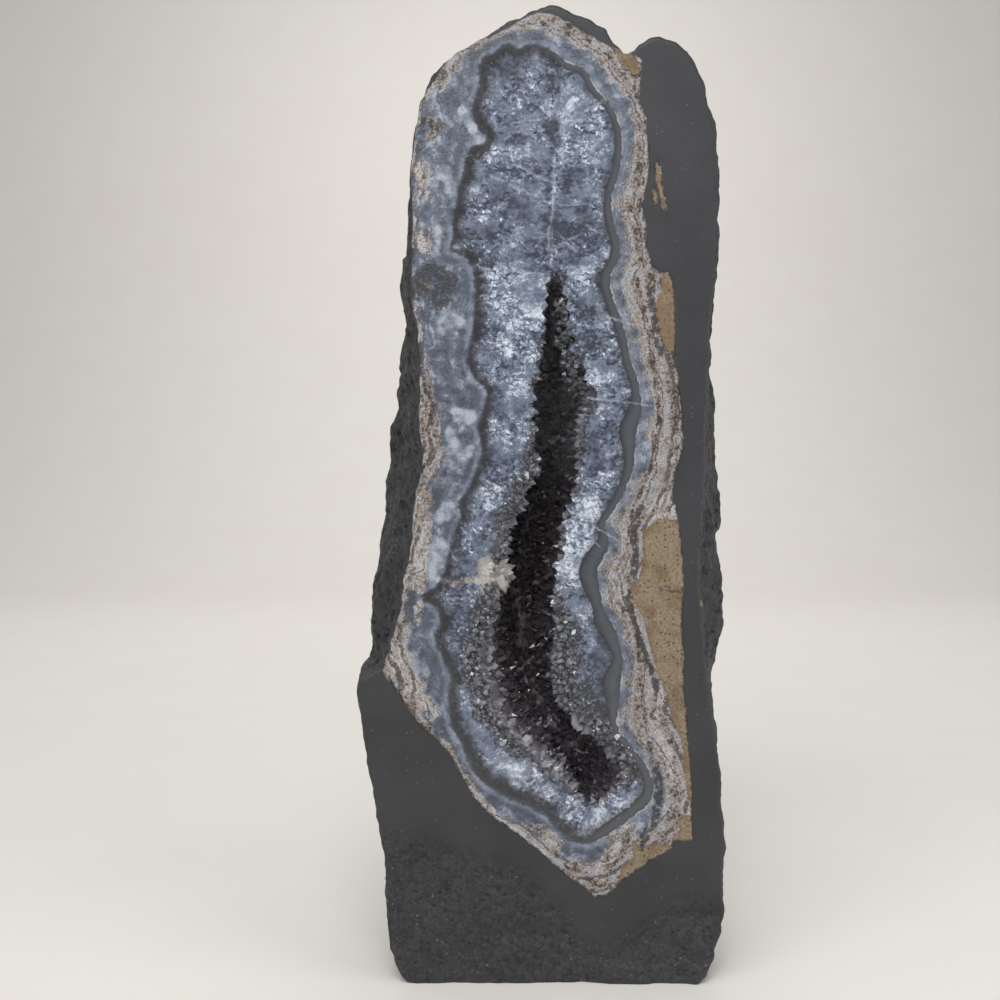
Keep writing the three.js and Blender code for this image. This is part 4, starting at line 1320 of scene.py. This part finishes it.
def crystal_faces():
    """The triangles of one crystal: two for each side, one for each slope of the point, and the foot's."""
    i = np.arange(SIDES)
    j = (i + 1) % SIDES
    tip = np.full(SIDES, CRYSTAL_POINTS - 1)
    walls = [np.stack(corners, -1) for corners in ((i, j, j + SIDES), (i, j + SIDES, i + SIDES))]
    bottom = np.stack([0 * i, j, i], -1)[1:-1]
    return np.concatenate([*walls, np.stack([i + SIDES, j + SIDES, tip], -1), bottom])


def crystals_mesh(name, foot, direction, length, wide, random):
    """Six-sided quartz crystals: a prism from its foot to its shoulder and a six-sided point, a little off
    its middle. Each has its own length, width, flatness and turn. None reaches past the saw cut."""
    count = len(foot)
    side, other = (each[:, None] for each in across_to(direction, random.random(count)))
    up, tall, stout = direction[:, None], length[:, None, None], wide[:, None, None]
    angle = np.arange(SIDES) * 2 * np.pi / SIDES
    flatness = random.uniform(0.72, 1.0, (count, 1, 1))
    skew = random.uniform(0.85, 1.15, (count, SIDES, 1)) * stout
    ring = np.cos(angle)[:, None] * skew * side + np.sin(angle)[:, None] * skew * flatness * other
    taper = random.uniform(0.8, 1.0, (count, 1, 1))
    shoulder_at = tall - stout * random.uniform(0.8, 1.5, (count, 1, 1))
    shoulder_tilt = random.uniform(-0.3, 0.3, (count, SIDES, 1)) * stout
    aside, across = (random.uniform(-0.25, 0.25, (count, 1, 1)) for _ in range(2))
    low = foot[:, None] + ring
    shoulder = foot[:, None] + ring * taper + up * (shoulder_at + shoulder_tilt)
    tip = foot[:, None] + up * tall + (aside * side + across * other) * stout
    points = np.concatenate([low, shoulder, tip], 1).reshape(-1, 3)
    points[:, 1] = np.maximum(points[:, 1], FACE_Y + POINTS_CLEAR)
    faces = (np.arange(count)[:, None, None] * CRYSTAL_POINTS + crystal_faces()).reshape(-1, 3)
    chance = np.repeat(random.random(count), CRYSTAL_POINTS)
    # Each point's share of painted shade, deep in the lower hollow.
    return mesh_from(name, points, faces, chance=chance, dusk=painted_shade_at(points))


def wall_normals(u, t):
    """The direction straight off the wall of the hollow, from two small steps along it."""
    inwards = hollow_at(u, np.minimum(t + 0.02, 1), 0) - hollow_at(u, np.maximum(t - 0.02, 0), 0)
    across = hollow_at(u + 0.003, t, 0) - hollow_at(u - 0.003, t, 0)
    return unit(np.cross(inwards, across))


def leaning(direction, amount, random):
    """Directions with a random lean."""
    return unit(direction + amount * random.normal(size=direction.shape))


def sizes_of(random, count, short, more, slim, stout):
    """Lengths by chance, most of them near the short end, and widths as shares of the lengths."""
    length = short + more * random.random(count) ** 2
    return length, length * random.uniform(slim, stout, count)


def behind_cut(foot, direction, length):
    """The feet, moved back where a crystal's tip would reach past the saw cut."""
    foot[:, 1] = np.maximum(foot[:, 1], FACE_Y + CLEAR_OF_CUT - direction[:, 1] * length)
    return foot


def spoke_by_length(share):
    """The spoke at an even share of the way round the mouth of the hollow."""
    u = np.linspace(0, 1, EVEN_POINTS + 1)
    passed = passed_along(mouth_at(u)[:, [0, 2]])
    return np.interp(share % 1 * passed[-1], passed, u)


def net(across_count, down_count):
    """The column and the row of each cell of a net."""
    across, down = np.meshgrid(np.arange(across_count), np.arange(down_count))
    return across.ravel(), down.ravel()


def druse_mesh(random):
    """The crystals of the hollow: one to each cell of a net over its wall, slightly out of place."""
    across, down = net(DRUSE_ACROSS, DRUSE_DOWN)
    share = (across + random.uniform(-0.45, 0.45, across.size)) / DRUSE_ACROSS
    t = np.clip((down + random.uniform(0.1, 0.9, down.size)) / DRUSE_DOWN, 0.04, 0.98)
    u = spoke_by_length(share)
    scale = 0.3 + 0.7 * room_at(u)
    direction = leaning(wall_normals(u, t), 0.38, random)
    length, wide = sizes_of(random, len(u), 1.8, 3.6, 0.24, 0.38)
    foot = hollow_at(u, t, 0) - direction * (0.35 * length * scale)[:, None]
    return crystals_mesh("smoky_crystals", foot, direction, length * scale, wide * scale, random)


def rim_teeth_mesh(random):
    """The crystals at the mouth of the hollow, in four rows that follow each other into it: many small ones
    and a few large ones."""
    across, down = net(RIM_ACROSS, RIM_DOWN)
    u = spoke_by_length((across + random.uniform(-0.5, 0.5, across.size)) / RIM_ACROSS)
    room = room_at(u)
    depth = (RIM_DEEP + RIM_STEP * down + random.uniform(-0.4, 0.6, down.size)) * (0.3 + 0.7 * room)
    mouth = mouth_at(u)
    step = mouth_at(u + 0.002) - mouth_at(u - 0.002)
    inwards = unit(np.stack([step[:, 2], np.zeros(len(u)), -step[:, 0]], -1))
    direction = leaning(inwards + [0, 0.16, 0], 0.24, random)
    length, wide = (size * (0.4 + 0.6 * room) for size in sizes_of(random, len(u), 1.8, 3.0, 0.26, 0.4))
    belt = BELT_DEEP * smooth_step(belt_width(mouth[:, [0, 2]]), 0.5, 3)
    foot = np.stack([mouth[:, 0], FACE_Y + depth + belt + wide * 0.8, mouth[:, 2]], -1)
    foot -= direction * (0.7 * length)[:, None] + inwards * room[:, None]
    return crystals_mesh("rim_crystals", foot, direction, length, wide, random)


def belt_mesh(random):
    """The small crystals of the druse beside the mouth: one to each cell of a net over the front, out of
    place by chance, wherever the net's point is in the belt."""
    mouth = front_line(np.arange(AROUND) / AROUND, 1.0)
    low, high = mouth.min(0) - BELT_REACH, mouth.max(0) + BELT_REACH
    x, z = np.meshgrid(*(np.arange(a, b, BELT_PITCH) for a, b in zip(low, high)))
    place = np.stack([x, z], -1).reshape(-1, 2)
    place = place + random.uniform(-0.6, 0.6, place.shape) * BELT_PITCH
    gap = line_distance(place, mouth, closed=True)
    width = belt_width(place)
    width = width + 1.2 * smooth_noise(place[:, [0, 1, 1]], 6) * smooth_step(width, 0.3, 2)
    keep = (gap < width) & ~inside_outline(place, mouth)
    place, gap, width = place[keep], gap[keep], width[keep]
    count = len(place)
    to_heart = np.sign(heart_x(place) - place[:, 0])
    direction = leaning(np.stack([0.45 * to_heart, -np.ones(count), np.zeros(count)], -1), 0.4, random)
    length, wide = sizes_of(random, count, 1.4, 1.8, 0.36, 0.5)
    sunk = FACE_Y + BELT_DEEP * belt_share(gap, width)
    foot = np.stack([place[:, 0], sunk, place[:, 1]], -1) - direction * (0.35 * length)[:, None]
    foot = behind_cut(foot, direction, length)
    return crystals_mesh("belt_crystals", foot, direction, length, wide, random)


def cluster_mesh(random):
    """A fan of larger crystals on the left side of the mouth, which point into the hollow."""
    count = CLUSTER_COUNT
    turn = random.uniform(-1.3, 1.3, count)
    into = random.uniform(-0.1, 0.5, count)
    direction = unit(np.stack([np.cos(turn), into, np.sin(turn)], -1))
    foot = np.stack([CLUSTER_X + random.normal(0, 0.8, count), FACE_Y + random.uniform(0.8, 5.0, count),
                     CLUSTER_Z + random.normal(0, 1.2, count)], -1)
    length = random.uniform(3.5, 6.5, count)
    wide = length * random.uniform(0.2, 0.3, count)
    return crystals_mesh("pale_cluster", foot, direction, length, wide, random)


def ledge_mesh(random):
    """The grey crystals of the ledge in the upper right of the hollow, which slopes down from the mouth to
    the left: one to each draw over a slanting four-sided field, whose right corners are LEDGE_TOP and
    LEDGE_LOW."""
    count = LEDGE_COUNT
    down, aside = random.random(count), random.random(count)
    right_x, z = (blend(top, low, down) for top, low in zip(LEDGE_TOP, LEDGE_LOW))
    x = right_x - aside * blend(LEDGE_WIDE_TOP, LEDGE_WIDE_LOW, down)
    depth = 0.8 + 3.6 * aside + random.uniform(-0.3, 0.3, count)
    direction = leaning(np.tile([-0.45, -0.8, -0.15], (count, 1)), 0.35, random)
    length, wide = sizes_of(random, count, 1.6, 1.8, 0.3, 0.42)
    foot = behind_cut(np.stack([x, FACE_Y + depth, z], -1), direction, length)
    return crystals_mesh("ledge_crystals", foot, direction, length, wide, random)


# Properties

class GeodeColours(bpy.types.PropertyGroup):
    """Colours of the stone."""
    paint: colour_of("Paint", "Paint on the sawn front", 52, 53, 56)
    rough_paint: colour_of("Rough paint", "Paint on the rough outside", 48, 48, 52)
    # Painted shade in the pits; the same colour draws the dark line along the paint's edge.
    pit: colour_of("Pits", "Inside of the pits", 24, 23, 25)
    # Pale grains, partly real and partly painted sparkle.
    grain: colour_of("Pale grains", "Grains that catch the light", 175, 172, 168)
    basalt_light: colour_of("Basalt", "Bare basalt", 143, 132, 112)
    basalt_brown: colour_of("Brown basalt", "Stained basalt", 112, 90, 66)
    basalt_dark: colour_of("Basalt pores", "Specks and pores of the basalt", 60, 52, 44)
    agate_dark: colour_of("Dark agate", "Darkest layers of the agate", 66, 72, 84)
    agate_middle: colour_of("Agate", "Most of the agate", 88, 96, 112)
    agate_pale: colour_of("Pale agate", "Palest layers of the agate", 152, 161, 176)
    band_middle: colour_of("Band", "Middle of the dark band", 74, 77, 81)
    band_edge: colour_of("Band edge", "Edges of the dark band", 50, 47, 46)
    # Real dark veins and crumbs, and painted shade in the gaps.
    vein: colour_of("Vein", "Dark veins and gaps", 46, 46, 50)
    agate_cloud: colour_of("Agate clouds", "Bluish white clouds in the agate", 132, 139, 152)
    seam: colour_of("Seams", "Fine pale seams and cracks", 172, 180, 192)
    crust_white: colour_of("Crust", "White of the chalky crust", 178, 175, 174)
    crust_beige: colour_of("Beige crust", "Beige of the chalky crust", 138, 130, 124)
    crust_brown: colour_of("Brown crust", "Brown crumbs of the crust", 96, 78, 67)
    quartz_smoky: colour_of("Smoky quartz", "Darkest quartz near the hollow", 56, 57, 60)
    quartz_dark: colour_of("Dark quartz", "Shaded quartz", 58, 63, 75)
    quartz_middle: colour_of("Quartz", "Most of the quartz", 106, 115, 134)
    quartz_pale: colour_of("Pale quartz", "Faces and cracks that catch the light", 208, 215, 227)
    smoky_wall: colour_of("Smoky wall", "Wall deep in the hollow", 148, 145, 151)
    smoky_dark: colour_of("Dark smoky crystals", "Darkest crystals of the hollow", 136, 133, 139)
    smoky: colour_of("Smoky crystals", "Most crystals of the hollow", 178, 176, 182)
    rim_dark: colour_of("Dark rim crystals", "Darkest crystals at the mouth of the hollow", 92, 97, 110)
    rim_middle: colour_of("Rim crystals", "Most crystals at the mouth of the hollow", 150, 158, 176)
    rim_pale: colour_of("Glints", "Crystals that catch the light", 236, 239, 246)
    belt_dark: colour_of("Dark grey crystals", "Darkest crystals beside the hollow", 80, 80, 85)
    belt_grey: colour_of("Grey crystals", "Most crystals beside the hollow", 116, 118, 125)
    belt_light: colour_of("Light grey crystals", "Lightest crystals beside the hollow", 134, 137, 146)
    # Painted shade: the dark colour of the crystals and the wall deep in the lower hollow.
    dusk: colour_of("Dusk", "Crystals deep in the hollow", 100, 94, 101)
    beige_dark: colour_of("Dark beige quartz", "Shaded cut beige crystals", 100, 94, 88)
    beige_quartz: colour_of("Beige quartz", "Cut beige crystals", 150, 146, 142)
    cluster_beige: colour_of("Beige crystals", "Most crystals of the cluster", 150, 148, 144)
    cluster_pale: colour_of("Pale beige crystals", "Palest crystals of the cluster", 190, 186, 180)
    crystal_milk: colour_of("Milky quartz", "Cloudy places in the crystals", 190, 195, 206)
    absorbed: colour_of("Absorption", "Colour that light keeps inside the crystals", 150, 150, 160)
    absorption: amount_of("Absorption density", "How fast light is absorbed, per metre", 25.0)


class GeodeCrystals(bpy.types.PropertyGroup):
    """How the crystals are strewn."""
    seed: IntProperty(name="Seed", description="Start of the random draws", default=11)
    smoky_clearness: amount_of("Smoky clearness", "Transmission of the smoky crystals", 0.4, max=1.0)
    rim_clearness: amount_of("Rim clearness", "Transmission of the other crystals", 0.35, max=1.0)


class GeodeStage(bpy.types.PropertyGroup):
    """Floor, light and camera."""
    floor: colour_of("Floor", "Pale floor and backdrop", 236, 232, 226)
    key_light: amount_of("Key light", "Power of the large light", 2.6, unit="POWER")
    fill_light: amount_of("Fill light", "Power of the light from the right", 1.5, unit="POWER")
    upper_light: amount_of("Upper light", "Power of the light above the camera", 2.4, unit="POWER")
    around_light: amount_of("Light all round", "Strength of the even light", 0.4)
    back_light: amount_of("Back light", "Power of the light on the backdrop", 9.0, unit="POWER")
    camera_away: amount_of("Camera distance", "From the camera to the sawn face", 0.3, unit="LENGTH")


# Operators

MIDDLE = (0, 0, 0.15)
# Each light's place, size and aim, in metres
LIGHTS = {
    "key_light": ((-0.35, -0.55, 0.62), 0.55, MIDDLE),
    "fill_light": ((0.6, -0.35, 0.3), 0.5, MIDDLE),
    "upper_light": ((0.0, -0.6, 0.84), 0.32, MIDDLE),
    "back_light": ((0, 0.75, 1.3), 0.9, (0, 1.8, 0.2)),
}
CAMERA_X, CAMERA_Z, CAMERA_LENS, CAMERA_CLIP = -0.01265, 0.1464, 36, 0.01
WELD = 1e-6


class GEODE_OT_stone(bpy.types.Operator):
    """Make the sawn face, the rough outside and the wall of the hollow"""
    bl_idname = "geode.stone"
    bl_label = "Stone"

    def execute(self, context):
        look = context.scene.geode_colours
        face, rows = sawn_face_mesh()
        looks = [sawn_face_material(look), painted_front_material(look)]
        piece_from("sawn_face", face, looks, "stone")
        skin, wall = rough_skin_mesh(rows[0]), hollow_wall_mesh(rows[-1])
        piece_from("rough_skin", skin, [rough_skin_material(look)], "stone", merge=WELD)
        piece_from("hollow_wall", wall, [hollow_wall_material(look)], "crystal_crust", merge=WELD)
        return {"FINISHED"}


class GEODE_OT_crystals(bpy.types.Operator):
    """Make the crystals in the hollow, round its mouth and beside it"""
    bl_idname = "geode.crystals"
    bl_label = "Crystals"

    def execute(self, context):
        look, strewn = context.scene.geode_colours, context.scene.geode_crystals
        random = np.random.default_rng(strewn.seed)
        smoky, clear = strewn.smoky_clearness, strewn.rim_clearness
        for make, name, clearness, roughness, milky, shades in (
            (druse_mesh, "Smoky quartz", smoky, 0.06, 0.5, "smoky_dark smoky smoky rim_pale"),
            (rim_teeth_mesh, "Bluish quartz", clear, 0.1, 0.5, "rim_dark rim_middle rim_middle rim_pale"),
            (belt_mesh, "Grey quartz", clear, 0.08, 0.5, "belt_dark belt_grey belt_light rim_pale"),
            (cluster_mesh, "Beige quartz", clear, 0.15, 0.5,
             "cluster_beige cluster_beige cluster_pale cluster_pale"),
            (ledge_mesh, "Dark grey quartz", clear, 0.1, 0.12, "belt_dark belt_dark belt_grey belt_light"),
        ):
            colours = [getattr(look, shade) for shade in shades.split()]
            material = crystal_material(name, look, colours, clearness, roughness, milky)
            mesh = make(random)
            piece_from(mesh.name, mesh, [material], "crystal_crust", smooth=False)
        return {"FINISHED"}


class GEODE_OT_stage(bpy.types.Operator):
    """Make the floor, the light and the camera"""
    bl_idname = "geode.stage"
    bl_label = "Stage"

    def execute(self, context):
        stage, scene = context.scene.geode_stage, context.scene
        scene.view_settings.view_transform = "Standard"
        make_floor(stage)
        for name, (place, size, aim) in LIGHTS.items():
            make_light(name, place, size, getattr(stage, name), aim)
        world = bpy.data.worlds.new("Even light")
        world.use_nodes = True
        even = world.node_tree.nodes["Background"].inputs
        even["Color"].default_value = (1, 1, 1, 1)
        even["Strength"].default_value = stage.around_light
        scene.world = world
        make_camera(stage)
        return {"FINISHED"}


def make_floor(stage):
    """A pale sheet that lies flat and curves up behind: depth and height follow a straight line, a quarter
    circle and a straight line again."""
    angle = np.linspace(0, np.pi / 2, 24)
    depth = np.concatenate([[-2.0], 1.2 + 0.8 * np.sin(angle), [2.0]])
    height = np.concatenate([[0.0], 0.8 - 0.8 * np.cos(angle), [3.0]])
    across = np.linspace(-3, 3, 9)
    x, y = np.meshgrid(across, depth)
    points = np.stack([x, y, np.broadcast_to(height[:, None], x.shape)], -1).reshape(-1, 3) / MM - SHIFT
    column, row = net(len(across) - 1, len(depth) - 1)
    a = row * len(across) + column
    mesh = mesh_from("floor", points, np.stack([a, a + 1, a + 1 + len(across), a + len(across)], -1))
    material, n = new_material("Pale floor")
    tone = n.noise(n.position(), 60, detail=3)
    n.give(Base_Color=n.mix(tone.rise(0.3, 0.7, 0, 0.06), stage.floor, 1.0),
           Roughness=tone.rise(0.3, 0.7, 0.7, 0.8))
    mesh.materials.append(material)
    floor = placed("floor", mesh, smooth=True)


def make_light(name, place, size, power, aim):
    """A large soft light, which looks at its aim."""
    light = bpy.data.lights.new(name, "AREA")
    light.shape, light.size, light.energy = "SQUARE", size, power
    lamp = placed(name, light)
    lamp.location = place
    lamp.rotation_euler = (Vector(aim) - Vector(place)).to_track_quat("-Z", "Y").to_euler()


def make_camera(stage):
    """A level camera whose frame is one thousand focal parts wide, a little to the left of the stone."""
    camera = bpy.data.cameras.new("camera")
    camera.sensor_width = camera.lens = CAMERA_LENS
    camera.clip_start = CAMERA_CLIP
    eye = placed("camera", camera)
    face = (FACE_Y + SHIFT[1]) * MM
    eye.location = (CAMERA_X, face - stage.camera_away, CAMERA_Z)
    eye.rotation_euler = (np.pi / 2, 0, 0)
    bpy.context.scene.camera = eye


class GEODE_PT_sidebar(bpy.types.Panel):
    """Lists the steps and the values"""
    bl_label = "Geode half"
    bl_idname = "GEODE_PT_sidebar"
    bl_space_type = "VIEW_3D"
    bl_region_type = "UI"
    bl_category = "Geode"

    def draw(self, context):
        for step in STEPS:
            self.layout.operator(step.bl_idname)
        for group in (context.scene.geode_colours, context.scene.geode_crystals, context.scene.geode_stage):
            box = self.layout.box()
            for name in group.__annotations__:
                box.prop(group, name)


STEPS = (GEODE_OT_stage, GEODE_OT_stone, GEODE_OT_crystals)
CLASSES = (GeodeColours, GeodeCrystals, GeodeStage, *STEPS, GEODE_PT_sidebar)


def register():
    for cls in CLASSES:
        bpy.utils.register_class(cls)
    bpy.types.Scene.geode_colours = PointerProperty(type=GeodeColours)
    bpy.types.Scene.geode_crystals = PointerProperty(type=GeodeCrystals)
    bpy.types.Scene.geode_stage = PointerProperty(type=GeodeStage)


def unregister():
    for name in ("geode_colours", "geode_crystals", "geode_stage"):
        delattr(bpy.types.Scene, name)
    for cls in reversed(CLASSES):
        bpy.utils.unregister_class(cls)


def main():
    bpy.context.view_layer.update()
    register()
    bpy.ops.geode.stage()
    bpy.ops.geode.stone()
    bpy.ops.geode.crystals()


if __name__ == "__main__":
    main()
